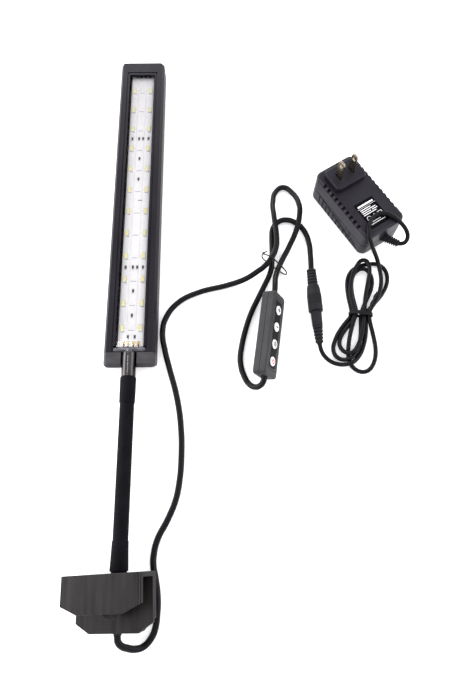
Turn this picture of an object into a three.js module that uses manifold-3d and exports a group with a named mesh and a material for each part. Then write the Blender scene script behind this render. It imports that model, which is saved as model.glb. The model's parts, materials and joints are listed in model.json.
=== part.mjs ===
// An LED aquarium light: a slim lamp head on a gooseneck, a clamp for the rim of a tank, a small
// in-line controller and a plug-in adapter, lying on a table as when unpacked.
// Millimetres, +Z up. The origin is on the table under the centre of the lamp head's flat back,
// and +Y runs along the head, away from the clamp.
import * as THREE from 'three';
import { mergeVertices } from 'three/addons/utils/BufferGeometryUtils.js';
import Module from 'manifold-3d';

const wasm = await Module();
wasm.setup();

// ---- Driving dimensions ----
const GAP = 0.3; // clearance between neighbouring pieces
const DEG = Math.PI / 180;

const HEAD = { width: 39.4, length: 293.2, height: 16, corner: 3.6, wall: 2.2, seamZ: 7 };
const BEVEL = { top: 2.1, topHeight: 3.2, bottom: 1 };
const WINDOW = { half: 11.2, top: 131, grooveInner: 12.5, grooveOuter: 13.5, grooveDepth: 0.8 };
const LENS = { half: 14, thickness: 1.5, top: 13.7 };
const BOARD = { width: 20, top: 11, thickness: 1.2, low: -130.2, high: 135 };
const LED = { rows: 12, pitch: 21, halfSpacing: 7.15, width: 3, length: 5.7, height: 0.9 };
const RESISTOR = { width: 1.6, length: 3.2, height: 0.5 };
const END_CAP = { seam: -135.3, notchRadius: 6, slopeRun: 6, slopeHeight: 11.5 };

const NECK = { z: 13.5, diameter: 10.9, bore: 6.8, hinge: -133.1, barHalf: 12, barRadius: 2.1 };
const TUBE_END = -154.6; // where the neck tube goes into its collar
const GOOSENECK = { diameter: 10, firstPivot: -180, pivots: 6, pitch: 17.6, bend: 20 };
const CLAMP_TOP = -289.3;
const COLLAR = { diameter: 11.6, length: 20 };

// The clamp's own frame: x across it, y up towards the gooseneck, z out of its front plate.
const CLAMP = {
  origin: [-7.8, CLAMP_TOP, 37.8],
  turn: [-4, -22, 2.5], // degrees about x, y and z
  width: 58,
  plate: 2.6,
  wall: 2.5,
  slot: 11.7,
  frontDrop: 23,
  frontShoulder: 18,
  rearDrop: 35.5,
  rearShoulder: 29.5,
};
const HOUSING = { width: 50, depth: 11.6, wall: 2 };
const SOCKET = { x: -1.95, z: -25.5, depth: 12 };
const THUMB_SCREW = { x: 3, y: -20.5, radius: 2.5, knobRadius: 7.5, knobHeight: 6.6 };

// The controller's own frame: x along it, y across its label face, z out of its label face.
const CONTROLLER = { length: 68, width: 20, height: 11, lean: 29, heading: 81.5 };
const CONTROLLER_CENTRE = [107.4, -121.5, 11.7];
const BUTTON = { radius: 3.6, pitch: 14, first: 14, proud: 0.7 };

// The DC connectors' own frame: their axis runs along -Y from the jack's cord end.
const JACK = { x: 144.4, y: -63.4, z: 5.5, heading: 2.5, bodyTop: 13.3, bodyEnd: 36.8, radius: 5.8 };
const PLUG = { bodyEnd: 49.6, tail: 64, radius: 4.3 };

// The adapter's own frame: x across it, y from its cord end to its blade end, z up.
const ADAPTER = { width: 39, length: 73, height: 28, seam: 13.5, corner: 6, heading: 32 };
const ADAPTER_CENTRE = [184.3, -7.6, 0];
const OUTLET = { start: [-0.6, -33.8], slant: 30, length: 16.6 };
const BLADES = { y: 22, spacing: 12.7, width: 6.4, thickness: 1.5, reach: 17 };
const PLUG_BLOCK = { width: 29, low: 10.8, high: 31.5, height: 4.2 };
const LABEL = { left: -10.4, right: 7.4, low: -30.2, high: -5.8 };

const CORD = { lamp: 4.6, thin: 3.4, tie: 1.1 };
const HANK = { x: 181.3, waist: -100.8, height: 8.6 };

// ---- Materials ----
const plastic = (color, roughness) =>
  new THREE.MeshStandardMaterial({ color, roughness, metalness: 0 });
const metal = (color, roughness) =>
  new THREE.MeshStandardMaterial({ color, roughness, metalness: 1 });
const BLACK = plastic(0x232226, 0.45);
const DARK = plastic(0x161518, 0.6);
const RUBBER = plastic(0x121213, 0.8);
const CORD_BLACK = plastic(0x18181a, 0.4);
const WHITE = plastic(0xf4f4f0, 0.4);
const CIRCUIT = plastic(0x2f6b46, 0.5);
const CLEAR = plastic(0xeef4f6, 0.05);
const GUNMETAL = metal(0x6f6d70, 0.25);
const STEEL = metal(0xb9b9bb, 0.3);
const NICKEL = metal(0xb8ac90, 0.3);

// ---- Solids ----

// A three.js geometry as a solid that can be joined and cut.
function toSolid(geometry) {
  const bare = geometry.clone();
  for (const name of Object.keys(bare.attributes)) {
    if (name !== 'position') bare.deleteAttribute(name);
  }
  const merged = mergeVertices(bare, 1e-4);
  const corners = merged.index.array;
  const faces = [];
  for (let i = 0; i < corners.length; i += 3) {
    const [a, b, c] = corners.slice(i, i + 3);
    if (a !== b && b !== c && c !== a) faces.push(a, b, c);
  }
  return new wasm.Manifold(new wasm.Mesh({
    numProp: 3,
    vertProperties: merged.attributes.position.array,
    triVerts: Uint32Array.from(faces),
  }));
}

function toGeometry(solid) {
  const mesh = solid.getMesh();
  const geometry = new THREE.BufferGeometry();
  geometry.setAttribute('position', new THREE.BufferAttribute(mesh.vertProperties, 3));
  geometry.setIndex(new THREE.BufferAttribute(mesh.triVerts, 1));
  const flat = geometry.toNonIndexed();
  flat.computeVertexNormals();
  return flat;
}

const join = (...solids) => solids.reduce((a, b) => a.add(b));
const cut = (solid, ...tools) => tools.reduce((a, b) => a.subtract(b), solid);

// A box from its low corner to its high corner.
function block(low, high) {
  const size = high.map((value, i) => value - low[i]);
  const centre = high.map((value, i) => (value + low[i]) / 2);
  return toSolid(new THREE.BoxGeometry(...size).translate(...centre));
}

const FACETED = { corner: 3, edge: 1 };
const SMOOTH_CORNERS = { corner: 8, edge: 1 };
const SMOOTH = { corner: 8, edge: 4 };

// A round bar from one point to another, or a cone where the second radius differs.
function rod(from, to, radius, endRadius = radius, sides = 24) {
  const start = new THREE.Vector3(...from);
  const way = new THREE.Vector3(...to).sub(start);
  const geometry = new THREE.CylinderGeometry(endRadius, radius, way.length(), sides);
  const turn = new THREE.Quaternion().setFromUnitVectors(
    new THREE.Vector3(0, 1, 0), way.clone().normalize());
  geometry.applyQuaternion(turn).translate(...start.addScaledVector(way, 0.5).toArray());
  return toSolid(geometry);
}

// A turned piece along -Y: profile points are [distance from the start, radius].
function turned(start, profile, sides = 24) {
  const points = profile.map(([along, radius]) => new THREE.Vector2(radius, along));
  const geometry = new THREE.LatheGeometry(points, sides);
  return geometry.rotateX(Math.PI).translate(...start);
}

function roundedRectangle(halfWidth, low, high, radius) {
  const shape = new THREE.Shape();
  shape.absarc(halfWidth - radius, high - radius, radius, 0, Math.PI / 2);
  shape.absarc(radius - halfWidth, high - radius, radius, Math.PI / 2, Math.PI);
  shape.absarc(radius - halfWidth, low + radius, radius, Math.PI, 1.5 * Math.PI);
  shape.absarc(halfWidth - radius, low + radius, radius, 1.5 * Math.PI, 2 * Math.PI);
  return shape;
}

const polygon = (points) => new THREE.Shape(points.map(([x, y]) => new THREE.Vector2(x, y)));

// A shape given thickness from one z to another, with bevels of a width and height at both faces.
// smooth says how many facets round off each corner of the outline and each bevelled edge.
function slab(shape, low, high, bevel = 0, bevelHeight = bevel, smooth = FACETED) {
  const geometry = new THREE.ExtrudeGeometry(shape, {
    depth: high - low - 2 * bevelHeight,
    bevelEnabled: bevel > 0,
    bevelSize: bevel,
    bevelOffset: -bevel,
    bevelThickness: bevelHeight,
    bevelSegments: smooth.edge,
    curveSegments: smooth.corner,
  });
  return toSolid(geometry.translate(0, 0, low + bevelHeight));
}

// A tube of a cord along hand-chosen points.
function cordTube(points, diameter, sides, steps) {
  const route = new THREE.CatmullRomCurve3(points.map((p) => new THREE.Vector3(...p)));
  const section = new THREE.Shape();
  section.absarc(0, 0, diameter / 2, 0, 2 * Math.PI);
  return new THREE.ExtrudeGeometry(section, {
    steps,
    curveSegments: sides / 2,
    extrudePath: route,
    bevelEnabled: false,
  });
}

const light = new THREE.Group();

function add(group, name, shape, material) {
  const geometry = shape.isBufferGeometry ? shape : toGeometry(shape);
  const mesh = new THREE.Mesh(geometry, material);
  mesh.name = name;
  group.add(mesh);
  return mesh;
}

// ---- Lamp head ----

const headLow = -HEAD.length / 2;
const headHigh = HEAD.length / 2;
const headHalf = HEAD.width / 2;

function headBlock() {
  const outline = roundedRectangle(headHalf, headLow, headHigh, HEAD.corner);
  const topBevelled = slab(
    outline, -10, HEAD.height, BEVEL.top, BEVEL.topHeight, SMOOTH_CORNERS);
  const bottomBevelled = slab(
    outline, 0, HEAD.height + 10, BEVEL.bottom, BEVEL.bottom, SMOOTH_CORNERS);
  return topBevelled.intersect(bottomBevelled);
}

// The hollow inside the head, open at the end cap.
function headHollow(top) {
  const half = headHalf - HEAD.wall;
  return block([-half, headLow - 1, HEAD.wall], [half, headHigh - HEAD.wall, top]);
}

function makeHousing() {
  const shell = headBlock().intersect(block([-30, END_CAP.seam, -1], [30, 200, HEAD.seamZ]));
  const ribHeight = BOARD.top - BOARD.thickness - GAP;
  const ribs = [-6, 6].map((x) =>
    block([x - 0.8, END_CAP.seam + 6, HEAD.wall - 0.5], [x + 0.8, BOARD.high - 2, ribHeight]));
  return join(cut(shell, headHollow(20)), ...ribs);
}

// Bearings that hold the ends of the neck's crossbar.
function bearing(side) {
  const inner = side * (NECK.barHalf + 0.6);
  const outer = side * (headHalf - HEAD.wall + 0.5);
  const low = [Math.min(inner, outer), NECK.hinge - 2.1, HEAD.seamZ + GAP];
  const high = [Math.max(inner, outer), NECK.hinge + 2.2, HEAD.height - 1.5];
  return block(low, high);
}

function makeBezel() {
  const seam = HEAD.seamZ + GAP;
  const top = HEAD.height;
  const shell = headBlock().intersect(block([-30, END_CAP.seam, seam], [30, 200, 30]));
  const ceiling = LENS.top + GAP;
  const low = headLow - 1;
  const window = block([-WINDOW.half, low, 0], [WINDOW.half, WINDOW.top, top + 1]);
  const grooves = [-1, 1].map((side) => {
    const edges = [side * WINDOW.grooveInner, side * WINDOW.grooveOuter].sort((a, b) => a - b);
    return block([edges[0], low, top - WINDOW.grooveDepth],
      [edges[1], WINDOW.top + 3, top + 1]);
  });
  const topGroove = block([-WINDOW.grooveOuter, WINDOW.top + 2, top - WINDOW.grooveDepth],
    [WINDOW.grooveOuter, WINDOW.top + 3, top + 1]);
  const barPocket = block([-NECK.barHalf - 0.5, low, 0],
    [NECK.barHalf + 0.5, NECK.hinge + NECK.barRadius + 0.4, top + 1]);
  const hollowed = cut(shell, headHollow(ceiling), window, ...grooves, topGroove);
  const withBearings = join(hollowed, bearing(-1), bearing(1));
  const trunnionHole = rod([-headHalf + HEAD.wall, NECK.hinge, NECK.z],
    [headHalf - HEAD.wall, NECK.hinge, NECK.z], 1.5);
  return cut(withBearings, barPocket, trunnionHole);
}

// The wedge that is cut away below the head's lower end.
function slopedUnderside() {
  const { slopeRun, slopeHeight } = END_CAP;
  const wedge = polygon([
    [headLow - 1, -1], [headLow + slopeRun * (1 + 1 / slopeHeight), -1],
    [headLow - 1, slopeHeight * (1 + 1 / slopeRun)],
  ]);
  const geometry = new THREE.ExtrudeGeometry(wedge, { depth: 60, bevelEnabled: false });
  return toSolid(geometry.rotateX(Math.PI / 2).rotateZ(Math.PI / 2).translate(-30, 0, 0));
}

function makeEndCap() {
  const end = headBlock().intersect(
    block([-30, headLow - 1, -1], [30, END_CAP.seam - GAP, 30]));
  const r = END_CAP.notchRadius;
  const bottom = rod([0, headLow - 1, NECK.z], [0, 0, NECK.z], r);
  const mouth = block([-r, headLow - 1, NECK.z], [r, 0, 30]);
  const lighten = [-1, 1].map((side) => {
    const edges = [side * 8.5, side * 16.8].sort((a, b) => a - b);
    return block([edges[0], headLow + 5.5, 4.5], [edges[1], 0, HEAD.height - 2.4]);
  });
  return cut(end, slopedUnderside(), bottom, mouth, ...lighten);
}

function makeLens() {
  const low = NECK.hinge + NECK.barRadius + 0.8;
  const z = [LENS.top - LENS.thickness, LENS.top];
  return slab(roundedRectangle(LENS.half, low, headHigh - 5, 1), ...z);
}

const LEAD_PLACES = [-5.2, -1.8, 2.4, 6.2];
const firstRow = ((LED.rows - 1) / 2) * LED.pitch + 1.2;

// Each half of the board has a row of four resistors and two single ones below it, and the last
// two stand above the leads. Rows count down from the first pair of LEDs.
function resistorSpots() {
  const rowY = (rows) => firstRow - rows * LED.pitch;
  const spots = [[-2.3, rowY(11.35)], [3, rowY(11.35)]];
  for (const half of [2.5, 8.5]) {
    for (const x of [-7, -1.1, 2.4, 7.1]) spots.push([x, rowY(half)]);
    for (const step of [1, 2]) spots.push([0, rowY(half + step)]);
  }
  return spots;
}

function makeBoard() {
  const sheet = block([-BOARD.width / 2, BOARD.low, BOARD.top - BOARD.thickness],
    [BOARD.width / 2, BOARD.high, BOARD.top]);
  const onBoard = (x, y, width, length, height) => block(
    [x - width / 2, y - length / 2, BOARD.top - 0.2],
    [x + width / 2, y + length / 2, BOARD.top + height]);
  const pieces = [];
  for (let row = 0; row < LED.rows; row += 1) {
    const y = firstRow - row * LED.pitch;
    for (const side of [-1, 1]) {
      pieces.push(onBoard(side * LED.halfSpacing, y, LED.width, LED.length, LED.height));
    }
  }
  for (const [x, y] of resistorSpots()) {
    pieces.push(onBoard(x, y, RESISTOR.width, RESISTOR.length, RESISTOR.height));
  }
  return join(sheet, ...pieces);
}

// Four leads soldered to the board's end pads, gathered under the neck's crossbar.
function makeLeads() {
  const end = BOARD.low - GAP;
  const leads = LEAD_PLACES.map((x) =>
    block([x - 0.6, end - 0.8, BOARD.top + GAP], [x + 0.6, end + 4, BOARD.top + 1.1]));
  const drop = block([-6, end - 0.8, 7.6], [7, end, BOARD.top + 1.1]);
  const bundle = block([-2.6, end - 4.5, 7.6], [2.6, end, 8.8]);
  return join(drop, bundle, ...leads);
}

function makeHead() {
  add(light, 'head_housing', makeHousing(), BLACK);
  add(light, 'head_bezel', makeBezel(), BLACK);
  add(light, 'head_end_cap', makeEndCap(), BLACK);
  add(light, 'clear_lens', makeLens(), CLEAR);
  add(light, 'led_board', makeBoard(), WHITE);
  add(light, 'board_leads', makeLeads(), DARK);
}

// ---- Neck and gooseneck ----

function makeCrossbar() {
  const y = NECK.hinge;
  const bar = rod([-NECK.barHalf, y, NECK.z], [NECK.barHalf, y, NECK.z], NECK.barRadius);
  const trunnions = rod([-headHalf + 3.4, y, NECK.z], [headHalf - 3.4, y, NECK.z], 1.2);
  const spigot = rod([0, y, NECK.z], [0, y - 12, NECK.z], NECK.bore / 2 - GAP);
  return join(bar, trunnions, spigot);
}

function makeNeckTube() {
  const start = NECK.hinge - NECK.barRadius - GAP;
  const outer = join(
    rod([0, start, NECK.z], [0, TUBE_END, NECK.z], NECK.diameter / 2),
    rod([0, start, NECK.z], [0, TUBE_END - 5, NECK.z], NECK.diameter / 2 - 0.9));
  return cut(outer, rod([0, start + 1, NECK.z], [0, TUBE_END - 6, NECK.z], NECK.bore / 2));
}

// A collar along -Y with a bore through it: its outer radius goes from start to middle to end.
function collar(y, length, startRadius, endRadius, bore) {
  return turned([0, y, NECK.z], [
    [0, bore], [0, startRadius - 0.4], [0.8, startRadius], [length * 0.55, startRadius],
    [length, endRadius], [length, bore], [0, bore],
  ], 20);
}

// A length of gooseneck whose ends taper round the pivots, so that neighbours can bend.
function gooseneckLink(start, end, startTaper, endTaper) {
  const r = GOOSENECK.diameter / 2;
  const gap = 0.35;
  const rimGap = gap + r * Math.tan((GOOSENECK.bend / 2) * DEG) + 0.2;
  const length = start - end;
  const profile = [];
  profile.push([startTaper ? gap : 0, 0]);
  if (startTaper) profile.push([gap, 1]);
  profile.push([startTaper ? rimGap : 0, r]);
  profile.push([length - (endTaper ? rimGap : 0), r]);
  if (endTaper) profile.push([length - gap, 1]);
  profile.push([length - (endTaper ? gap : 0), 0]);
  return turned([0, start, NECK.z], profile, 16);
}

const pivotY = (i) => GOOSENECK.firstPivot - i * GOOSENECK.pitch;

function makeNeck() {
  add(light, 'hinge_crossbar', makeCrossbar(), GUNMETAL);
  add(light, 'neck_tube', makeNeckTube(), GUNMETAL);
  const r = GOOSENECK.diameter / 2;
  const upper = collar(TUBE_END - 0.1, COLLAR.length, COLLAR.diameter / 2, 5.4, r + GAP / 2);
  add(light, 'upper_collar', upper, RUBBER);
  const tip = gooseneckLink(TUBE_END - 5 - GAP, pivotY(0), false, true);
  add(light, 'gooseneck_tip', tip, DARK);
  for (let i = 0; i < GOOSENECK.pivots - 1; i += 1) {
    const link = gooseneckLink(pivotY(i), pivotY(i + 1), true, true);
    add(light, `gooseneck_link_${i + 1}`, link, DARK);
  }
}

// ---- Clamp ----

const clamp = new THREE.Group();
clamp.position.set(...CLAMP.origin);
clamp.rotation.set(...CLAMP.turn.map((a) => a * DEG), 'ZXY');
clamp.updateMatrixWorld(true);
light.add(clamp);

const clampHalf = CLAMP.width / 2;
const frontWallFace = -CLAMP.plate - GAP; // outer face of the bracket's front wall
const slotFront = frontWallFace - CLAMP.wall;
const slotRear = slotFront - CLAMP.slot;
const rearFace = slotRear - CLAMP.wall;

// An outline with its two lower corners cut off.
const jawOutline = (half, top, shoulder, drop, cornerWidth) => polygon([
  [-half, top], [-half, -shoulder], [-half + cornerWidth, -drop],
  [half - cornerWidth, -drop], [half, -shoulder], [half, top],
]);

function makeFrontPlate() {
  const outline = jawOutline(clampHalf, 0, CLAMP.frontShoulder, CLAMP.frontDrop, 12.5);
  return slab(outline, -CLAMP.plate, 0, 0.3);
}

function makeBracket() {
  const front = slab(
    jawOutline(clampHalf, 0, CLAMP.frontShoulder - 0.5, CLAMP.frontDrop - 0.8, 13),
    slotFront, frontWallFace);
  const rear = slab(jawOutline(clampHalf, 0, CLAMP.rearShoulder, CLAMP.rearDrop, 10.5),
    rearFace, slotRear);
  const top = block([-clampHalf, -3, rearFace], [clampHalf, 0, frontWallFace]);
  const screwHole = rod([THUMB_SCREW.x, THUMB_SCREW.y, rearFace - 1],
    [THUMB_SCREW.x, THUMB_SCREW.y, slotRear + 1], THUMB_SCREW.radius + GAP);
  return cut(join(front, rear, top), screwHole);
}

const housingScrewPlaces = [[-19, -8], [19, -8]];

function makeRearHousing() {
  const face = rearFace - GAP;
  const back = face - HOUSING.depth;
  const half = HOUSING.width / 2;
  const outline = jawOutline(half, 0, CLAMP.rearShoulder - 2, CLAMP.rearDrop, 9);
  const chamfered = slab(outline, back, face + 10, 3, 3);
  const outer = chamfered.intersect(block([-half, -60, back], [half, 10, face]));
  const w = HOUSING.wall;
  const inner = slab(
    jawOutline(half - w - 1, -w, CLAMP.rearShoulder - 3, CLAMP.rearDrop - w, 9),
    back + w, face + 1);
  const { x, y } = THUMB_SCREW;
  const screwBoss = rod([x, y, back + 1], [x, y, face], 4.6);
  const socketBlock = block([SOCKET.x - 6.4, -SOCKET.depth, back + 1],
    [SOCKET.x + 6.4, -1, face]);
  const filled = join(cut(outer, inner), screwBoss, socketBlock);
  const screwBore = rod([x, y, back - 1], [x, y, face + 1], THUMB_SCREW.radius + GAP);
  const socketBore = rod([SOCKET.x, 1, SOCKET.z], [SOCKET.x, -SOCKET.depth - 3, SOCKET.z], 4.3);
  const cordBore = rod([SOCKET.x, -CLAMP.rearDrop - 1, SOCKET.z],
    [SOCKET.x, -CLAMP.rearDrop + 3, SOCKET.z], 3.1);
  const recesses = housingScrewPlaces.map(([sx, sy]) =>
    rod([sx, sy, back - 1], [sx, sy, back + 1.2], 2.9));
  return cut(filled, screwBore, socketBore, cordBore, ...recesses);
}

function makeHousingScrew([x, y]) {
  const back = rearFace - GAP - HOUSING.depth;
  const head = rod([x, y, back + 0.1], [x, y, back + 1.2 - GAP], 2.5, 2.5, 16);
  const slot = block([x - 3, y - 0.4, back - 1], [x + 3, y + 0.4, back + 0.5]);
  return cut(head, slot);
}

function makeGrommet() {
  const y = -CLAMP.rearDrop + HOUSING.wall;
  const outer = rod([SOCKET.x, y, SOCKET.z], [SOCKET.x, y - 4.5, SOCKET.z], 2.8, 2.8, 16);
  const flange = rod([SOCKET.x, -CLAMP.rearDrop - GAP, SOCKET.z],
    [SOCKET.x, -CLAMP.rearDrop - 1.8, SOCKET.z], 3.9, 3.5, 16);
  return join(outer, flange);
}

// The screw is stored fully in: its pad then stands near the front wall.
const padFace = slotFront - 1.7;

function makePressurePad() {
  const { x, y, radius } = THUMB_SCREW;
  const disc = rod([x, y, padFace - 3], [x, y, padFace], 6.2);
  return cut(disc, rod([x, y, padFace - 4], [x, y, padFace - 1.2], radius + GAP));
}

function makeThumbScrew() {
  const { x, y, radius, knobRadius, knobHeight } = THUMB_SCREW;
  const knobTop = rearFace - GAP - HOUSING.depth - 0.4;
  const lobes = [];
  for (let i = 0; i < 6; i += 1) {
    const angle = (i * Math.PI) / 3;
    const reach = knobRadius - 1.7;
    const spot = [x + reach * Math.cos(angle), y + reach * Math.sin(angle)];
    lobes.push(rod([...spot, knobTop - knobHeight], [...spot, knobTop], 1.7, 1.7, 12));
  }
  const core = rod([x, y, knobTop - knobHeight], [x, y, knobTop], knobRadius - 1.2);
  const shaft = rod([x, y, knobTop - 1], [x, y, padFace - 1.2 - GAP], radius, radius, 16);
  return join(core, shaft, ...lobes);
}

function makeFrontPad() {
  const top = slotFront - GAP;
  return slab(roundedRectangle(22, -16.5, -7, 1.5), top - 0.9, top);
}

// The gooseneck's lower end: a stub in the housing's socket and the stretch above the clamp.
function makeGooseneckBase() {
  const stub = rod([SOCKET.x, 4, SOCKET.z], [SOCKET.x, -SOCKET.depth + 1, SOCKET.z], 4);
  const placed = stub.transform(clamp.matrixWorld.elements);
  const top = pivotY(GOOSENECK.pivots - 1);
  const visible = toSolid(gooseneckLink(top, CLAMP_TOP + 1.4, true, false));
  return join(visible, placed);
}

function makeClamp() {
  add(clamp, 'clamp_front_plate', makeFrontPlate(), BLACK);
  add(clamp, 'clamp_bracket', makeBracket(), BLACK);
  add(clamp, 'clamp_rear_housing', makeRearHousing(), BLACK);
  add(clamp, 'clamp_front_pad', makeFrontPad(), RUBBER);
  housingScrewPlaces.forEach((place, i) =>
    add(clamp, `clamp_screw_${i + 1}`, makeHousingScrew(place), STEEL));
  add(clamp, 'clamp_cord_grommet', makeGrommet(), RUBBER);
  add(clamp, 'pressure_pad', makePressurePad(), RUBBER);
  add(clamp, 'thumb_screw', makeThumbScrew(), BLACK);
  add(light, 'gooseneck_base', makeGooseneckBase(), DARK);
  const start = pivotY(GOOSENECK.pivots - 1) - 2.4;
  const bore = GOOSENECK.diameter / 2 + GAP / 2;
  const lower = collar(start, start - CLAMP_TOP + 0.4, 5.4, COLLAR.diameter / 2, bore);
  add(light, 'lower_collar', lower, RUBBER);
}

// ---- In-line controller ----

const controller = new THREE.Group();
controller.position.set(...CONTROLLER_CENTRE);
controller.rotation.set((90 - CONTROLLER.lean) * DEG, 0, CONTROLLER.heading * DEG, 'ZXY');
light.add(controller);

const controllerHalf = CONTROLLER.length / 2;
const labelFace = CONTROLLER.height / 2;
const buttonX = (i) => controllerHalf - BUTTON.first - i * BUTTON.pitch;
const buttonSpots = [0, 1, 2, 3].map((i) => [buttonX(i), 0]);

function controllerBlock(low, high) {
  const w = CONTROLLER.width / 2;
  const outline = roundedRectangle(w, -controllerHalf, controllerHalf, 3);
  const rounded = slab(outline, -labelFace, labelFace, 1.2, 1.2, SMOOTH);
  const turn = new THREE.Matrix4().makeRotationZ(Math.PI / 2);
  return rounded.transform(turn.elements)
    .intersect(block([-50, -50, low], [50, 50, high]));
}

function makeControllerBase() {
  const shell = controllerBlock(-labelFace, -GAP / 2);
  const inner = block([-controllerHalf + 2, -8, -labelFace + 1.8], [controllerHalf - 2, 8, 1]);
  return cut(shell, inner, ...controllerCordBores());
}

function controllerCordBores() {
  return [-1, 1].map((side) => rod([side * (controllerHalf - 4), 0, 0],
    [side * (controllerHalf + 2), 0, 0], 2.9));
}

function makeControllerCover() {
  const shell = controllerBlock(GAP / 2, labelFace);
  const inner = block([-controllerHalf + 2, -8, -1], [controllerHalf - 2, 8, labelFace - 2]);
  const recess = block([-28.5, -6.5, labelFace - 0.6], [28.5, 6.5, labelFace + 1]);
  const holes = buttonSpots.map(([x, y]) =>
    rod([x, y, 0], [x, y, labelFace + 1], BUTTON.radius + GAP));
  return cut(shell, inner, recess, ...holes, ...controllerCordBores());
}

function makeOverlay() {
  const sheet = block([-28.2, -6.2, labelFace - 0.3], [28.2, 6.2, labelFace - 0.05]);
  const holes = buttonSpots.map(([x, y]) =>
    rod([x, y, 0], [x, y, labelFace + 1], BUTTON.radius + 0.2));
  return cut(sheet, ...holes);
}

function makeButton([x, y]) {
  const cap = rod([x, y, 1.4], [x, y, labelFace + BUTTON.proud - 0.3], BUTTON.radius);
  const crown = rod([x, y, labelFace + BUTTON.proud - 0.3], [x, y, labelFace + BUTTON.proud],
    BUTTON.radius, BUTTON.radius - 0.4);
  return join(cap, crown);
}

function makeControllerBoard() {
  const sheet = block([-30, -7.2, -2.6], [30, 7.2, -1.4]);
  const switches = buttonSpots.map(([x, y]) =>
    block([x - 2, y - 2, -1.5], [x + 2, y + 2, 0.6]));
  const chip = block([-29, -3, -1.5], [-25, 3, -0.6]);
  return join(sheet, ...switches, chip);
}

function makeControllerGrommet(side) {
  const end = side * controllerHalf;
  const length = side < 0 ? 0.8 : 2.5;
  return join(
    rod([end - side * 3.5, 0, 0], [end + side * length, 0, 0], 2.6, 2.6, 16),
    rod([end - side * 3.6, 0, 0], [end - side * 2.3, 0, 0], 3.2, 3.2, 16));
}

function makeController() {
  add(controller, 'controller_base', makeControllerBase(), BLACK);
  add(controller, 'controller_cover', makeControllerCover(), BLACK);
  add(controller, 'controller_overlay', makeOverlay(), DARK);
  add(controller, 'controller_board', makeControllerBoard(), CIRCUIT);
  buttonSpots.forEach((spot, i) =>
    add(controller, `controller_button_${i + 1}`, makeButton(spot), WHITE));
  add(controller, 'controller_grommet_top', makeControllerGrommet(1), RUBBER);
  add(controller, 'controller_grommet_bottom', makeControllerGrommet(-1), RUBBER);
}

// ---- DC connectors ----

// A ribbed, tapered strain relief along -Y.
function ribbedRelief(length, startRadius, endRadius, ribs) {
  const profile = [[0, 0]];
  for (let i = 0; i < ribs; i += 1) {
    const along = (i / ribs) * length;
    const radius = startRadius + (endRadius - startRadius) * (i / (ribs - 1));
    profile.push([along, radius], [along + (0.6 * length) / ribs, radius]);
    profile.push([along + (0.62 * length) / ribs, radius - 0.7]);
    if (i < ribs - 1) profile.push([along + (0.98 * length) / ribs, radius - 0.7]);
  }
  profile.push([length, endRadius - 0.7], [length, 0]);
  return profile;
}

function makeConnectors() {
  const connectors = new THREE.Group();
  connectors.position.set(JACK.x, JACK.y, JACK.z);
  connectors.rotation.z = JACK.heading * DEG;
  light.add(connectors);
  const place = (along) => [0, -along, 0];
  add(connectors, 'dc_jack_relief',
    turned(place(0), ribbedRelief(JACK.bodyTop - GAP, 3.5, 3.8, 4), 12), RUBBER);
  const length = JACK.bodyEnd - JACK.bodyTop;
  const r = JACK.radius;
  const bore = 3.2;
  add(connectors, 'dc_jack_body', turned(place(JACK.bodyTop), [
    [0, 0], [0, r - 1.7], [1.4, r - 0.9], [length * 0.5, r], [length - 0.8, r],
    [length, r - 0.6], [length, bore], [length - 11, bore], [length - 11, 0],
  ]), BLACK);
  add(connectors, 'dc_jack_pin', turned(place(JACK.bodyEnd - 11 + GAP), [
    [0, 0], [0, 1], [7.5, 1], [8.5, 0.5], [8.5, 0]], 12), NICKEL);
  add(connectors, 'dc_plug_barrel', turned(place(JACK.bodyEnd - 9.5), [
    [0, 1.3], [0, 2.75], [9.5 - GAP, 2.75], [9.5 - GAP, 1.3], [0, 1.3]], 16), NICKEL);
  const plugStart = JACK.bodyEnd + GAP;
  const plugLength = PLUG.bodyEnd - plugStart;
  add(connectors, 'dc_plug_body', turned(place(plugStart), [
    [0, 0], [0, PLUG.radius - 0.4], [0.5, PLUG.radius], [plugLength - 0.6, PLUG.radius - 0.3],
    [plugLength, PLUG.radius - 0.9], [plugLength, 0]]), BLACK);
  const tail = PLUG.tail - PLUG.bodyEnd - GAP;
  add(connectors, 'dc_plug_relief',
    turned(place(PLUG.bodyEnd + GAP), ribbedRelief(tail, 3.7, 2.7, 4), 12), RUBBER);
}

// ---- Adapter ----

const adapter = new THREE.Group();
adapter.position.set(...ADAPTER_CENTRE);
adapter.rotation.z = ADAPTER.heading * DEG;
light.add(adapter);

const adapterHalf = ADAPTER.length / 2;

function adapterBlock(low, high) {
  const outline = roundedRectangle(ADAPTER.width / 2, -adapterHalf, adapterHalf, ADAPTER.corner);
  return slab(outline, 0, ADAPTER.height, 2.4, 2.4, SMOOTH)
    .intersect(block([-60, -60, low], [60, 60, high]));
}

// Upright slots on the two long sides.
function sideSlots(low, high) {
  const slots = [];
  for (const side of [-1, 1]) {
    for (let i = 0; i < 10; i += 1) {
      const x = side * (ADAPTER.width / 2);
      const y = 24 - i * 4.9;
      slots.push(block([x - 0.8, y - 0.7, low], [x + 0.8, y + 0.7, high]));
    }
  }
  return slots;
}

function adapterHollow() {
  return block([-16.5, -adapterHalf + 3, 2.6], [16.5, adapterHalf - 3, ADAPTER.height - 3.4]);
}

// The cord's outlet leaves the end wall at a slant.
function reliefBore() {
  const [x, y] = OUTLET.start;
  const slant = OUTLET.slant * DEG;
  const reach = (along) => [x + along * Math.sin(slant), y - along * Math.cos(slant)];
  return rod([...reach(-1), ADAPTER.seam], [...reach(7), ADAPTER.seam], 3.9);
}

function makeAdapterBase() {
  return cut(adapterBlock(0, ADAPTER.seam - GAP / 2), adapterHollow(), reliefBore(),
    ...sideSlots(1.8, ADAPTER.seam - 0.6));
}

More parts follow.
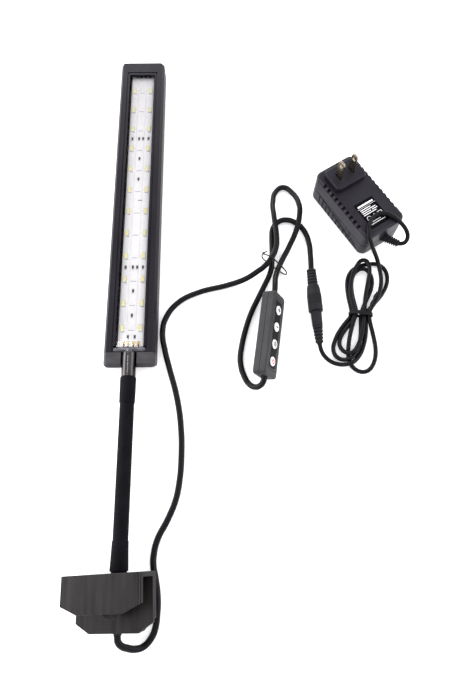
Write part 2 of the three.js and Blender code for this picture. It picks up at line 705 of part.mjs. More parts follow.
function makeAdapterCover() {
  const top = ADAPTER.height;
  const notches = [];
  for (const side of [-1, 1]) {
    for (let i = 0; i < 10; i += 1) {
      const x = side * (ADAPTER.width / 2 - 1.3);
      const y = 22.3 - i * 5;
      notches.push(block([x - 1.5, y - 1.2, top - 2.6], [x + 1.5, y + 1.2, top + 1]));
    }
  }
  const labelRecess = block([LABEL.left - 0.3, LABEL.low - 0.3, top - 0.5],
    [LABEL.right + 0.3, LABEL.high + 0.3, top + 1]);
  const bladeSlots = [-1, 1].map((side) => bladeBlock(side, 0.4, 5, top + 1));
  return cut(adapterBlock(ADAPTER.seam + GAP / 2, top), adapterHollow(), reliefBore(),
    labelRecess, ...notches, ...bladeSlots);
}

function bladeBlock(side, margin, low, high) {
  const x = (side * BLADES.spacing) / 2;
  const halfT = BLADES.thickness / 2 + margin;
  const halfW = BLADES.width / 2 + margin;
  return block([x - halfT, BLADES.y - halfW, low], [x + halfT, BLADES.y + halfW, high]);
}

const blockTop = ADAPTER.height + GAP + PLUG_BLOCK.height;

function makePlugBlock() {
  const { width, low, high } = PLUG_BLOCK;
  const outline = roundedRectangle(width / 2, low, high, 3.2);
  const body = slab(outline, ADAPTER.height + GAP, blockTop, 0.8, 0.8, SMOOTH);
  return cut(body, ...[-1, 1].map((side) => bladeBlock(side, GAP, 20, blockTop + 1)));
}

function makeBlade(side) {
  const top = blockTop + BLADES.reach;
  const x = (side * BLADES.spacing) / 2;
  const tip = polygon([
    [-BLADES.width / 2, 22], [BLADES.width / 2, 22], [BLADES.width / 2, top - 2],
    [BLADES.width / 2 - 1.2, top], [1.2 - BLADES.width / 2, top], [-BLADES.width / 2, top - 2],
  ]);
  const geometry = new THREE.ExtrudeGeometry(tip,
    { depth: BLADES.thickness, bevelEnabled: false });
  geometry.rotateX(Math.PI / 2).rotateZ(Math.PI / 2)
    .translate(x - BLADES.thickness / 2, BLADES.y, 0);
  const hole = rod([x - 3, BLADES.y, top - 4.4], [x + 3, BLADES.y, top - 4.4], 1.55, 1.55, 16);
  return cut(toSolid(geometry), hole);
}

function makeAdapterBoard() {
  const sheet = block([-15, -30, 6], [15, 32, 7.4]);
  const transformer = block([-11, -8, 7.2], [9, 12, 20]);
  const capacitor = rod([9, -19, 7.2], [9, -19, 19], 5, 5, 16);
  const chip = block([-12, -26, 7.2], [-4, -18, 11]);
  return join(sheet, transformer, capacitor, chip);
}

function makeAdapter() {
  add(adapter, 'adapter_base', makeAdapterBase(), BLACK);
  add(adapter, 'adapter_cover', makeAdapterCover(), BLACK);
  add(adapter, 'adapter_plug_block', makePlugBlock(), BLACK);
  add(adapter, 'adapter_blade_left', makeBlade(-1), NICKEL);
  add(adapter, 'adapter_blade_right', makeBlade(1), NICKEL);
  add(adapter, 'adapter_board', makeAdapterBoard(), CIRCUIT);
  const label = block([LABEL.left, LABEL.low, ADAPTER.height - 0.2],
    [LABEL.right, LABEL.high, ADAPTER.height + 0.05]);
  add(adapter, 'adapter_label', label, DARK);
  const relief = turned([0, 0, 0], ribbedRelief(OUTLET.length, 3.6, 3, 5), 12)
    .rotateZ(OUTLET.slant * DEG)
    .translate(...OUTLET.start, ADAPTER.seam);
  add(adapter, 'adapter_relief', relief, RUBBER);
}

// ---- Cords and ties ----

// From the clamp round to the controller's top end.
const LAMP_CORD_ROUTE = [
  [1.7, -329.2, 16.2], [2, -331.4, 16], [4, -334.4, 14], [7.4, -336.4, 10.8],
  [12.1, -337.8, 7],
  [17, -336.9, 4], [21, -333.2, 2.6], [23.7, -328, 2.5], [25.1, -318.1, 2.5], [25.1, -307.1, 2.5],
  [23.4, -296, 2.5], [21.6, -287.5, 2.5], [21.6, -280.5, 2.5], [24, -270.1, 2.5],
  [30.6, -257.5, 2.5], [36.3, -243.5, 2.5], [38.9, -229.4, 2.5], [39.8, -215.5, 2.5],
  [39.3, -192.4, 2.5], [35.8, -168.4, 2.5], [29.7, -145.7, 2.5], [25.7, -130.5, 2.5],
  [23.3, -114.6, 2.5], [26, -102.1, 2.5], [35.7, -89.3, 2.5], [51.4, -80.9, 2.5],
  [76, -74.4, 2.5], [90.4, -69.9, 4.3], [99.6, -65.1, 7], [106, -60.7, 8.6],
  [111.4, -54.4, 9.4], [115.8, -44.8, 8.8], [117, -35.6, 8], [116.6, -25.6, 7.5],
  [115.6, -13.6, 7.3], [115.4, 2.4, 4.2],
  [118.8, 14.5, 2.6], [124.9, 18.4, 2.6], [132.8, 11.7, 3.8], [137.6, -1.7, 6.6],
  [137.3, -12.4, 7.4], [133.8, -26.7, 6.4], [126.9, -41.9, 4.4], [119.4, -56.8, 4.6],
  [114.8, -70, 8.4], [113.5, -81.2, 11.5],
  [113, -84.7, 11.7],
];

// From the controller's bottom end round to the DC jack.
const CONTROLLER_CORD_ROUTE = [
  [102.2, -156.3, 11.7], [101.7, -158.7, 11.4], [99.5, -161.3, 9.6], [95.6, -161.7, 6.2],
  [91.1, -158.4, 3.2], [87.3, -151.4, 2.5], [85.1, -143.3, 2.5], [84.8, -136.1, 2.5],
  [86.2, -127, 2.5], [88.8, -115.8, 2.5], [94.5, -98.8, 2.5], [100.4, -86.3, 2.6],
  [105.8, -75.6, 3.4], [111.1, -63.5, 3.9], [112.7, -52.9, 3.8], [113.2, -41, 2.7],
  [113.4, -31, 2.5], [114.6, -22.2, 2.5], [119.4, -16, 2.5], [126, -14, 2.5],
  [134.8, -17.4, 2.5], [141.3, -25.4, 2.6], [144.4, -37, 3.4], [144.7, -49.6, 5],
  [144.4, -63.1, 5.5],
];

// From the DC plug to the hank, and from the hank over the adapter to its strain relief.
const PLUG_CORD_ROUTE = [
  [147.2, -127.8, 5.5], [147.4, -130.4, 5.3], [148.7, -134.4, 4], [152, -138.8, 2.4],
  [156, -141.9, 1.9], [160, -143.6, 1.9],
];
const ADAPTER_CORD_ROUTE = [
  [198, -57.2, 10.6], [194, -53.6, 18], [190.6, -50.9, 25],
  [188.6, -48, 30], [187.5, -44, 31.4], [187.5, -38.7, 30.6], [189.6, -33.2, 30.2],
  [193.3, -28, 30.2], [198.8, -25.4, 30.2], [205.1, -26.4, 30.4], [210.6, -29.9, 30.8],
  [215.6, -34.1, 29], [219.8, -37.4, 25.2], [222.4, -40.6, 20.8], [222.5, -43.8, 17],
  [220.8, -45.8, 14.6], [218.6, -45.4, 13.6], [217, -44.7, 13.5],
];

// The outer shape of the tied figure-of-eight hank, seen from above.
function makeHank() {
  const { x, waist } = HANK;
  const outline = new THREE.Shape();
  outline.moveTo(x + 8, waist);
  outline.splineThru([
    [13, 12], [22, 26], [20, 38], [12, 46], [2, 48], [-8, 44], [-13, 32], [-12, 18], [-8.5, 4],
    [-12, -8], [-20, -20], [-23, -32], [-17, -44], [-5, -49], [6, -49], [14, -40], [14, -26],
    [9, -10],
  ].map(([dx, dy]) => new THREE.Vector2(x + dx, waist + dy)));
  outline.closePath();
  const underTie = block([x - 20, waist - 2.6, -1], [x + 20, waist + 2.6, 1.7]);
  return cut(slab(outline, 0.2, HANK.height), underTie);
}

// A band round the hank's waist.
function makeHankTie() {
  const { x, waist, height } = HANK;
  const outer = block([x - 11.6, waist - 1.8, 0.2], [x + 11.2, waist + 1.8, height + 1.6]);
  const inner = block([x - 10.4, waist - 3, 1.4], [x + 10, waist + 3, height + 0.4]);
  return cut(outer, inner);
}

// A wire tie round the three strands above the controller, its two ends apart.
const TWIST_TIE_ROUTE = [
  [104.6, -50.4, 9.6], [106.4, -51.8, 12], [109, -54, 12.7], [113, -57.7, 11.6],
  [117.6, -61.6, 9.4], [121.4, -64.6, 6.4], [121.2, -64.6, 2.4], [117.4, -61.4, 0.8],
  [111, -55.8, 0.7], [105.4, -51, 0.9], [102.4, -48.4, 3], [102, -48, 6],
];

// Each cord's node, route, diameter, sides round it and steps along it.
const CORDS = [
  ['lamp_cord', LAMP_CORD_ROUTE, CORD.lamp, 10, 52],
  ['controller_cord', CONTROLLER_CORD_ROUTE, CORD.lamp, 10, 28],
  ['plug_cord', PLUG_CORD_ROUTE, CORD.thin, 8, 6],
  ['adapter_cord', ADAPTER_CORD_ROUTE, CORD.thin, 8, 14],
  ['twist_tie', TWIST_TIE_ROUTE, CORD.tie, 8, 22],
];

function makeCords() {
  for (const [name, route, diameter, sides, steps] of CORDS) {
    add(light, name, cordTube(route, diameter, sides, steps), CORD_BLACK);
  }
  add(light, 'adapter_cord_hank', makeHank(), CORD_BLACK);
  add(light, 'hank_tie', makeHankTie(), CORD_BLACK);
}

makeHead();
makeNeck();
makeClamp();
makeController();
makeConnectors();
makeAdapter();
makeCords();

export default light;
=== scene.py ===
"""An LED aquarium light lying on a table: lamp head, gooseneck, rim clamp, in-line controller, DC
connectors and plug-in adapter. Details are in millimetres and scaled to the frame's metres."""

import json
import math

import bmesh
import bpy
import numpy as np
from mathutils import Matrix, Vector


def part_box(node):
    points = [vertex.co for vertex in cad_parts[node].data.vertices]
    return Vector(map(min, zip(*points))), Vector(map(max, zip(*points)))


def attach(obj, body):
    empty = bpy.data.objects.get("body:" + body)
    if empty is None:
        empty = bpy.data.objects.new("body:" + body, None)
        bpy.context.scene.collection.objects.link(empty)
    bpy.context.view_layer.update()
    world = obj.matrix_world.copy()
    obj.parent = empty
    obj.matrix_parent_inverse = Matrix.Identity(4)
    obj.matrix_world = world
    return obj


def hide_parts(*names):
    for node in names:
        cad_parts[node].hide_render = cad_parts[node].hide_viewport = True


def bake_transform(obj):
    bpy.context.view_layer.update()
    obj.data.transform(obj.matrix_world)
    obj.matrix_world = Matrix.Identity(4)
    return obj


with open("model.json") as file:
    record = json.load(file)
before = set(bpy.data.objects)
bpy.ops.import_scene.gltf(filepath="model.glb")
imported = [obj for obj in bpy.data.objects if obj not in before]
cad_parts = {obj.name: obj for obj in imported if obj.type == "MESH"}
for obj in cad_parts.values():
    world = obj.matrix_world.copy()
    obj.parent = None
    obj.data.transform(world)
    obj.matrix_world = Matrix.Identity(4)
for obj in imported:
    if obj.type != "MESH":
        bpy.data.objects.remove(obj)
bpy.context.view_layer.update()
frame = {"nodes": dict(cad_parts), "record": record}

MM = 0.001
TO_METRES = Matrix.Scale(MM, 4)
BEHAVIOUR = frame["record"]["behaviour"]
NODE_BODY = {node: body for body, nodes in BEHAVIOUR["bodies"].items() for node in nodes}


def local_frame(origin, lean_x, lean_y, lean_z):
    """The place of a part turned about its y, then x, then z axis, from local millimetres."""
    turn = (
        Matrix.Rotation(math.radians(lean_z), 4, "Z")
        @ Matrix.Rotation(math.radians(lean_x), 4, "X")
        @ Matrix.Rotation(math.radians(lean_y), 4, "Y")
    )
    return TO_METRES @ Matrix.Translation(origin) @ turn


CLAMP = local_frame((-7.8, -289.3, 37.8), -4, -22, 2.5)
CONTROLLER = local_frame((107.4, -121.5, 11.7), 61, 0, 81.5)
CONNECTORS = local_frame((144.4, -63.4, 5.5), 0, 0, 2.5)
ADAPTER = local_frame((184.3, -7.6, 0), 0, 0, 32)

# How a turned piece, whose axis runs along -Y, is laid along another axis.
ALONG_X = Matrix.Rotation(math.radians(90), 4, "Z")
ALONG_MINUS_X = Matrix.Rotation(math.radians(-90), 4, "Z")
ALONG_Z = Matrix.Rotation(math.radians(-90), 4, "X")

NECK_Z = 13.5
LAMP_CORD = 4.6
THIN_CORD = 3.4


# ---- Camera ----

CAMERA_PLACE = (0.07598, -0.25897, 0.39732)
CAMERA_TILT = 18.02
CAMERA_YAW = -1.42
CAMERA_ROLL = 0.63
LENS = 27.12


def make_camera():
    data = bpy.data.cameras.new("camera")
    data.sensor_width = 36
    data.lens = LENS
    data.clip_start = 0.01
    camera = bpy.data.objects.new("camera", data)
    bpy.context.scene.collection.objects.link(camera)
    camera.matrix_world = (
        Matrix.Translation(CAMERA_PLACE)
        @ Matrix.Rotation(math.radians(CAMERA_YAW), 4, "Z")
        @ Matrix.Rotation(math.radians(CAMERA_TILT), 4, "X")
        @ Matrix.Rotation(math.radians(CAMERA_ROLL), 4, "Z")
    )
    bpy.context.scene.camera = camera


make_camera()


# ---- Materials ----

def noise(tree, size, turn=(0, 0, 0), detail=3.0):
    """Noise whose features have a size in metres along axes turned by an Euler angle."""
    place = tree.nodes.new("ShaderNodeTexCoord")
    mapping = tree.nodes.new("ShaderNodeMapping")
    mapping.vector_type = "TEXTURE"
    mapping.inputs["Rotation"].default_value = turn
    mapping.inputs["Scale"].default_value = size
    texture = tree.nodes.new("ShaderNodeTexNoise")
    texture.inputs["Scale"].default_value = 1
    texture.inputs["Detail"].default_value = detail
    tree.links.new(place.outputs["Object"], mapping.inputs["Vector"])
    tree.links.new(mapping.outputs["Vector"], texture.inputs["Vector"])
    return texture.outputs["Fac"]


def blend_colours(tree, factor, dark, light):
    ramp = tree.nodes.new("ShaderNodeValToRGB")
    ramp.color_ramp.elements[0].position = 0.3
    ramp.color_ramp.elements[0].color = (*dark, 1)
    ramp.color_ramp.elements[1].position = 0.7
    ramp.color_ramp.elements[1].color = (*light, 1)
    tree.links.new(factor, ramp.inputs["Fac"])
    return ramp.outputs["Color"]


def ranged(tree, factor, low, high):
    spread = tree.nodes.new("ShaderNodeMapRange")
    spread.inputs["From Min"].default_value = 0.3
    spread.inputs["From Max"].default_value = 0.7
    spread.inputs["To Min"].default_value = low
    spread.inputs["To Max"].default_value = high
    tree.links.new(factor, spread.inputs["Value"])
    return spread.outputs["Result"]


def surface(name, dark, light, roughness, grain, relief, patch=(0.02,) * 3, turn=(0, 0, 0),
            metallic=0.0, coat=0.0, specular=0.5, depth=0.00004):
    """A material whose colour and gloss drift in patches and whose surface has a fine grain."""
    material = bpy.data.materials.new(name)
    material.use_nodes = True
    tree = material.node_tree
    shader = tree.nodes["Principled BSDF"]
    drift = noise(tree, patch, turn)
    tree.links.new(blend_colours(tree, drift, dark, light), shader.inputs["Base Color"])
    fine = noise(tree, grain, turn, 2.0)
    tree.links.new(ranged(tree, fine, *roughness), shader.inputs["Roughness"])
    bump = tree.nodes.new("ShaderNodeBump")
    bump.inputs["Strength"].default_value = relief
    bump.inputs["Distance"].default_value = depth
    tree.links.new(fine, bump.inputs["Height"])
    tree.links.new(bump.outputs["Normal"], shader.inputs["Normal"])
    shader.inputs["Metallic"].default_value = metallic
    shader.inputs["Coat Weight"].default_value = coat
    shader.inputs["Specular IOR Level"].default_value = specular
    return material


def clear_cover():
    """Clear acrylic: it mirrors at a glancing angle and lets the board show."""
    material = bpy.data.materials.new("clear acrylic")
    material.use_nodes = True
    tree = material.node_tree
    tree.nodes.clear()
    out = tree.nodes.new("ShaderNodeOutputMaterial")
    mix = tree.nodes.new("ShaderNodeMixShader")
    through = tree.nodes.new("ShaderNodeBsdfTransparent")
    through.inputs["Color"].default_value = (1, 1, 1, 1)
    mirror = tree.nodes.new("ShaderNodeBsdfGlossy")
    mirror.inputs["Roughness"].default_value = 0.06
    edge = tree.nodes.new("ShaderNodeFresnel")
    edge.inputs["IOR"].default_value = 1.25
    tree.links.new(edge.outputs["Fac"], mix.inputs["Fac"])
    tree.links.new(through.outputs["BSDF"], mix.inputs[1])
    tree.links.new(mirror.outputs["BSDF"], mix.inputs[2])
    tree.links.new(mix.outputs["Shader"], out.inputs["Surface"])
    return material


CLAMP_TURN = tuple(CLAMP.to_euler("XYZ"))
HEAD_BLACK = surface(
    "head plastic", (0.0045, 0.0037, 0.0062), (0.0095, 0.0082, 0.0125), (0.36, 0.5),
    (0.0005, 0.0006, 0.0005), 0.25, (0.012, 0.05, 0.012), specular=0.13)
CLAMP_BLACK = surface(
    "clamp plastic", (0.0042, 0.0037, 0.0044), (0.016, 0.0138, 0.0135), (0.3, 0.48),
    (0.0007, 0.02, 0.0007), 0.3, (0.004, 0.05, 0.03), CLAMP_TURN, specular=0.1)
END_CAP_BLACK = surface(
    "end cap plastic", (0.02, 0.0185, 0.021), (0.036, 0.034, 0.037), (0.4, 0.55),
    (0.0006, 0.0004, 0.0004), 0.4, (0.008, 0.004, 0.004), specular=0.3)
CONTROLLER_GREY = surface(
    "controller plastic", (0.016, 0.016, 0.0175), (0.026, 0.026, 0.028), (0.45, 0.6),
    (0.0004,) * 3, 0.5, (0.01,) * 3, specular=0.25)
ADAPTER_BLACK = surface(
    "adapter plastic", (0.006, 0.0052, 0.0085), (0.012, 0.0108, 0.016), (0.3, 0.44),
    (0.0004,) * 3, 0.3, (0.015,) * 3, specular=0.2)
FILM_BLACK = surface(
    "printed film", (0.0012, 0.0012, 0.002), (0.003, 0.003, 0.004), (0.35, 0.45),
    (0.002,) * 3, 0.1, (0.01,) * 3, specular=0.04)
PRINT_WHITE = surface(
    "white print", (0.6, 0.6, 0.6), (0.78, 0.78, 0.77), (0.5, 0.65), (0.0003,) * 3, 0.2,
    (0.0012,) * 3)
BUTTON_WHITE = surface(
    "button white", (0.74, 0.74, 0.73), (0.84, 0.84, 0.83), (0.28, 0.4), (0.0006,) * 3, 0.1,
    (0.003,) * 3)
PRINT_DARK = surface(
    "dark print", (0.008, 0.008, 0.01), (0.02, 0.02, 0.024), (0.4, 0.5), (0.0003,) * 3, 0.1,
    (0.001,) * 3, specular=0.1)
PRINT_RED = surface(
    "red print", (0.5, 0.008, 0.015), (0.62, 0.02, 0.03), (0.4, 0.5), (0.0003,) * 3, 0.1,
    (0.001,) * 3, specular=0.1)
RUBBER = surface(
    "rubber", (0.005, 0.0046, 0.006), (0.011, 0.0102, 0.0125), (0.5, 0.66), (0.0004,) * 3, 0.4,
    (0.006,) * 3, specular=0.16)
SLEEVE = surface(
    "gooseneck sleeve", (0.0012, 0.001, 0.002), (0.0034, 0.003, 0.0048), (0.62, 0.8),
    (0.00055, 0.0011, 0.00055), 0.6, (0.006, 0.012, 0.006), specular=0.08)
JACKET = surface(
    "cord jacket", (0.001, 0.0009, 0.0017), (0.0028, 0.0025, 0.004), (0.28, 0.36),
    (0.0006,) * 3, 0.15, (0.012,) * 3, specular=0.13)
GUNMETAL = surface(
    "gunmetal", (0.035, 0.033, 0.034), (0.06, 0.057, 0.059), (0.14, 0.22),
    (0.0004, 0.006, 0.0004), 0.15, (0.004, 0.012, 0.004), metallic=1)
BAR_METAL = surface(
    "dull steel", (0.05, 0.05, 0.057), (0.14, 0.14, 0.155), (0.38, 0.55),
    (0.003, 0.0004, 0.0004), 0.3, (0.004, 0.0015, 0.0015), metallic=1)
STEEL = surface(
    "zinc plated steel", (0.42, 0.42, 0.43), (0.58, 0.58, 0.59), (0.24, 0.4),
    (0.0006,) * 3, 0.3, (0.002,) * 3, metallic=1)
BLADE_METAL = surface(
    "nickel plated brass", (0.22, 0.19, 0.135), (0.42, 0.37, 0.28), (0.2, 0.28),
    (0.0004, 0.0004, 0.006), 0.06, (0.003, 0.003, 0.006), metallic=1)
SOLDER_MASK = surface(
    "white solder mask", (0.9, 0.9, 0.895), (0.94, 0.94, 0.935), (0.24, 0.36),
    (0.0015,) * 3, 0.15, (0.012,) * 3)
BOARD_CORE = surface(
    "board core", (0.3, 0.3, 0.3), (0.42, 0.42, 0.41), (0.4, 0.55), (0.0005,) * 3, 0.3,
    (0.004,) * 3)
TRACK = surface(
    "tracks under the mask", (0.78, 0.78, 0.78), (0.84, 0.84, 0.83), (0.25, 0.36),
    (0.0008,) * 3, 0.1, (0.006,) * 3)
SILK = surface(
    "grey silk print", (0.17, 0.17, 0.17), (0.3, 0.3, 0.29), (0.5, 0.6), (0.0003,) * 3, 0.1,
    (0.0006,) * 3)
LED_FRAME = surface(
    "LED frame", (0.72, 0.72, 0.68), (0.82, 0.82, 0.78), (0.35, 0.5), (0.0004,) * 3, 0.15,
    (0.002,) * 3)
PHOSPHOR = surface(
    "LED phosphor", (0.82, 0.76, 0.26), (0.9, 0.86, 0.42), (0.2, 0.32), (0.0003,) * 3, 0.2,
    (0.0012,) * 3, coat=0.4)
RESISTOR_BLACK = surface(
    "resistor body", (0.018, 0.018, 0.02), (0.04, 0.04, 0.042), (0.3, 0.45), (0.0002,) * 3, 0.2,
    (0.0008,) * 3)
SOLDER = surface(
    "solder", (0.55, 0.55, 0.54), (0.75, 0.74, 0.72), (0.22, 0.4), (0.0003,) * 3, 0.4,
    (0.0008,) * 3, metallic=1)
GOLD_PAD = surface(
    "gold pads", (0.72, 0.5, 0.16), (0.88, 0.66, 0.26), (0.22, 0.36), (0.0003,) * 3, 0.3,
    (0.0008,) * 3, metallic=1)
CIRCUIT_GREEN = surface(
    "green board", (0.02, 0.11, 0.05), (0.035, 0.17, 0.08), (0.3, 0.45), (0.0005,) * 3, 0.2,
    (0.002,) * 3)
CLEAR = clear_cover()


# ---- Making and placing pieces ----

def new_object(name, data):
    obj = bpy.data.objects.new(name, data)
    bpy.context.scene.collection.objects.link(obj)
    return obj


def mesh_object(name, bm, place=TO_METRES):
    bmesh.ops.remove_doubles(bm, verts=bm.verts, dist=1e-4)
    bmesh.ops.recalc_face_normals(bm, faces=bm.faces)
    bm.transform(place)
    mesh = bpy.data.meshes.new(name)
    bm.to_mesh(mesh)
    bm.free()
    mesh.shade_smooth()
    return new_object(name, mesh)


def rounded(obj, width, segments=2, sharp=35):
    """Rounds the edges that are sharper than an angle, and evens out the shading."""
    bevel = obj.modifiers.new("rounded edges", "BEVEL")
    bevel.width = width * MM
    bevel.segments = segments
    bevel.limit_method = "ANGLE"
    bevel.angle_limit = math.radians(sharp)
    obj.modifiers.new("even shading", "WEIGHTED_NORMAL")
    return obj


def dressed(obj, node, *materials, stands_for=()):
    """A finished piece with its materials, riding as that CAD node does."""
    for material in materials:
        obj.data.materials.append(material)
    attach(obj, NODE_BODY[node])
    if stands_for:
        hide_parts(*stands_for)
    return obj


def stand_in(obj, node, *materials):
    return dressed(obj, node, *materials, stands_for=[node])


def refined(node, name, material, width, segments=2, sharp=35):
    """A copy of a CAD node with its facets joined and its edges rounded, which stands for it."""
    bm = bmesh.new()
    bm.from_mesh(frame["nodes"][node].data)
    bmesh.ops.remove_doubles(bm, verts=bm.verts, dist=4e-6)
    bmesh.ops.dissolve_limit(
        bm, angle_limit=math.radians(0.5), verts=bm.verts, edges=bm.edges)
    obj = mesh_object_in_metres(name, bm)
    rounded(obj, width, segments, sharp)
    return stand_in(obj, node, material)


def mesh_object_in_metres(name, bm):
    mesh = bpy.data.meshes.new(name)
    bm.to_mesh(mesh)
    bm.free()
    mesh.materials.clear()
    mesh.polygons.foreach_set("material_index", [0] * len(mesh.polygons))
    mesh.shade_smooth()
    return new_object(name, mesh)


def add_turned(bm, profile, place=Matrix(), sides=48, material=0):
    """Adds a turned solid along -Y: its profile is a list of (distance along, radius)."""
    rings = []
    for along, radius in profile:
        count = 1 if radius < 1e-6 else sides
        ring = []
        for i in range(count):
            angle = 2 * math.pi * i / sides
            spot = Vector((radius * math.cos(angle), -along, radius * math.sin(angle)))
            ring.append(bm.verts.new(place @ spot))
        rings.append(ring)
    for a, b in zip(rings, rings[1:]):
        for i in range(sides):
            j = i + 1
            corners = [a[i % len(a)], a[j % len(a)], b[j % len(b)], b[i % len(b)]]
            corners = list(dict.fromkeys(corners))
            if len(corners) > 2:
                bm.faces.new(corners).material_index = material


def turned(name, profile, place=TO_METRES, sides=48):
    bm = bmesh.new()
    add_turned(bm, profile, sides=sides)
    return mesh_object(name, bm, place)


def outline(half_x, half_y, radius, z, centre=(0, 0), corner=4):
    """A rounded rectangle's points at a height."""
    points = []
    for quarter, (side_x, side_y) in enumerate([(1, 1), (-1, 1), (-1, -1), (1, -1)]):
        for i in range(corner + 1):
            angle = math.pi / 2 * (quarter + i / corner)
            points.append(Vector((
                centre[0] + side_x * (half_x - radius) + radius * math.cos(angle),
                centre[1] + side_y * (half_y - radius) + radius * math.sin(angle), z)))
    return points


def add_loft(bm, outlines, material=0):
    """Adds a closed solid through outlines that all have the same number of points."""
    rings = [[bm.verts.new(point) for point in points] for points in outlines]
    for a, b in zip(rings, rings[1:]):
        for i in range(len(a)):
            j = (i + 1) % len(a)
            bm.faces.new([a[i], a[j], b[j], b[i]]).material_index = material
    bm.faces.new(rings[0][::-1]).material_index = material
    bm.faces.new(rings[-1]).material_index = material


def add_plate(bm, centre, size, low, high, edge=0.06, radius=0.2, material=0):
    """Adds a small plate with rounded corners and a softened top edge."""
    half_x, half_y = size[0] / 2, size[1] / 2
    radius = min(radius, 0.45 * min(half_x, half_y) * 2)
    add_loft(bm, [
        outline(half_x, half_y, radius, low, centre),
        outline(half_x, half_y, radius, high - edge, centre),
        outline(half_x - edge, half_y - edge, max(radius - edge, 0.01), high, centre),
    ], material)


# ---- Cords ----

LAMP_CORD_ROUTE = [
    (1.5, -327.2, 16.5), (1.7, -329.2, 16.2), (2, -331.4, 16), (4, -334.4, 14),
    (7.4, -336.4, 10.8), (12.1, -337.8, 7), (17, -336.9, 4), (21, -333.2, 2.6), (23.7, -328, 2.5),
    (25.1, -318.1, 2.5), (25.1, -307.1, 2.5), (23.4, -296, 2.5), (21.6, -287.5, 2.5),
    (21.6, -280.5, 2.5), (24, -270.1, 2.5), (30.6, -257.5, 2.5), (36.3, -243.5, 2.5),
    (38.9, -229.4, 2.5), (39.8, -215.5, 2.5), (39.3, -192.4, 2.5), (35.8, -168.4, 2.5),
    (29.7, -145.7, 2.5), (25.7, -130.5, 2.5), (23.3, -114.6, 2.5), (26, -102.1, 2.5),
    (35.7, -89.3, 2.5), (51.4, -80.9, 2.5), (76, -74.4, 2.5), (90.4, -69.9, 4.3), (99.6, -65.1, 7),
    (106, -60.7, 8.6), (111.4, -54.4, 9.4), (115.8, -44.8, 8.8), (117, -35.6, 8),
    (116.6, -25.6, 7.5), (115.6, -13.6, 7.3), (115.4, 2.4, 4.2), (118.8, 14.5, 2.6),
    (124.9, 18.4, 2.6), (132.8, 11.7, 3.8), (137.6, -1.7, 6.6), (137.3, -12.4, 7.4),
    (133.8, -26.7, 6.4), (126.9, -41.9, 4.4), (119.4, -56.8, 4.6), (114.8, -70, 8.4),
    (113.5, -81.2, 11.5), (113, -85.5, 11.7),
]
CONTROLLER_CORD_ROUTE = [
    (102.4, -155.4, 11.7), (101.7, -158.7, 11.4), (99.5, -161.3, 9.6), (95.6, -161.7, 6.2),
    (91.1, -158.4, 3.2), (87.3, -151.4, 2.5), (85.1, -143.3, 2.5), (84.8, -136.1, 2.5),
    (86.2, -127, 2.5), (88.8, -115.8, 2.5), (94.5, -98.8, 2.5), (100.4, -86.3, 2.6),
    (105.8, -75.6, 3.4), (111.1, -63.5, 3.9), (112.7, -52.9, 3.8), (113.2, -41, 2.7),
    (113.4, -31, 2.5), (114.6, -22.2, 2.5), (119.4, -16, 2.5), (126, -14, 2.5),
    (134.8, -17.4, 2.5), (141.3, -25.4, 2.6), (144.4, -37, 3.4), (144.7, -49.6, 5),
    (144.4, -63.7, 5.5),
]
PLUG_CORD_ROUTE = [
    (147.2, -127, 5.5), (147.4, -130.4, 5.3), (148.7, -134.4, 4), (152, -138.8, 2.4),
    (156, -141.9, 1.9), (160, -143.6, 1.9),
]
ADAPTER_CORD_ROUTE = [
    (198, -57.2, 10.6), (194, -53.6, 18), (190.6, -50.9, 25), (188.6, -48, 30), (187.5, -44, 31.4),
    (187.5, -38.7, 30.6), (189.6, -33.2, 30.2), (193.3, -28, 30.2), (198.8, -25.4, 30.2),
    (205.1, -26.4, 30.4), (210.6, -29.9, 30.8), (215.6, -34.1, 29), (219.8, -37.4, 25.2),
    (222.4, -40.6, 20.8), (222.5, -43.8, 17), (220.8, -45.8, 14.6), (218.6, -45.4, 13.6),
    (216.2, -44.3, 13.5),
]
HANK_CENTRE = Vector((182.4, -102, 0))


def cord_curve(name, route, diameter):
    """A cord as a smooth curve through points in millimetres."""
    curve = bpy.data.curves.new(name, "CURVE")
    curve.dimensions = "3D"
    curve.bevel_depth = diameter / 2 * MM
    curve.bevel_resolution = 6
    curve.resolution_u = 8
    curve.use_fill_caps = True
    spline = curve.splines.new("BEZIER")
    spline.bezier_points.add(len(route) - 1)
    for point, spot in zip(spline.bezier_points, route):
        point.co = Vector(spot) * MM
        point.handle_left_type = point.handle_right_type = "AUTO"
    return new_object(name, curve)


def along_spline(points, step):
    """Points a step apart on a Catmull-Rom curve through the given points."""
    line = [Vector(p) for p in points]
    line = [2 * line[0] - line[1], *line, 2 * line[-1] - line[-2]]
    found = []
    for p0, p1, p2, p3 in zip(line, line[1:], line[2:], line[3:]):
        count = max(1, round((p2 - p1).length / step))
        for i in range(count):
            t = i / count
            found.append(0.5 * (
                2 * p1 + (p2 - p0) * t + (2 * p0 - 5 * p1 + 4 * p2 - p3) * t * t
                + (3 * p1 - p0 - 3 * p2 + p3) * t ** 3))
    return [*found, line[-2]]


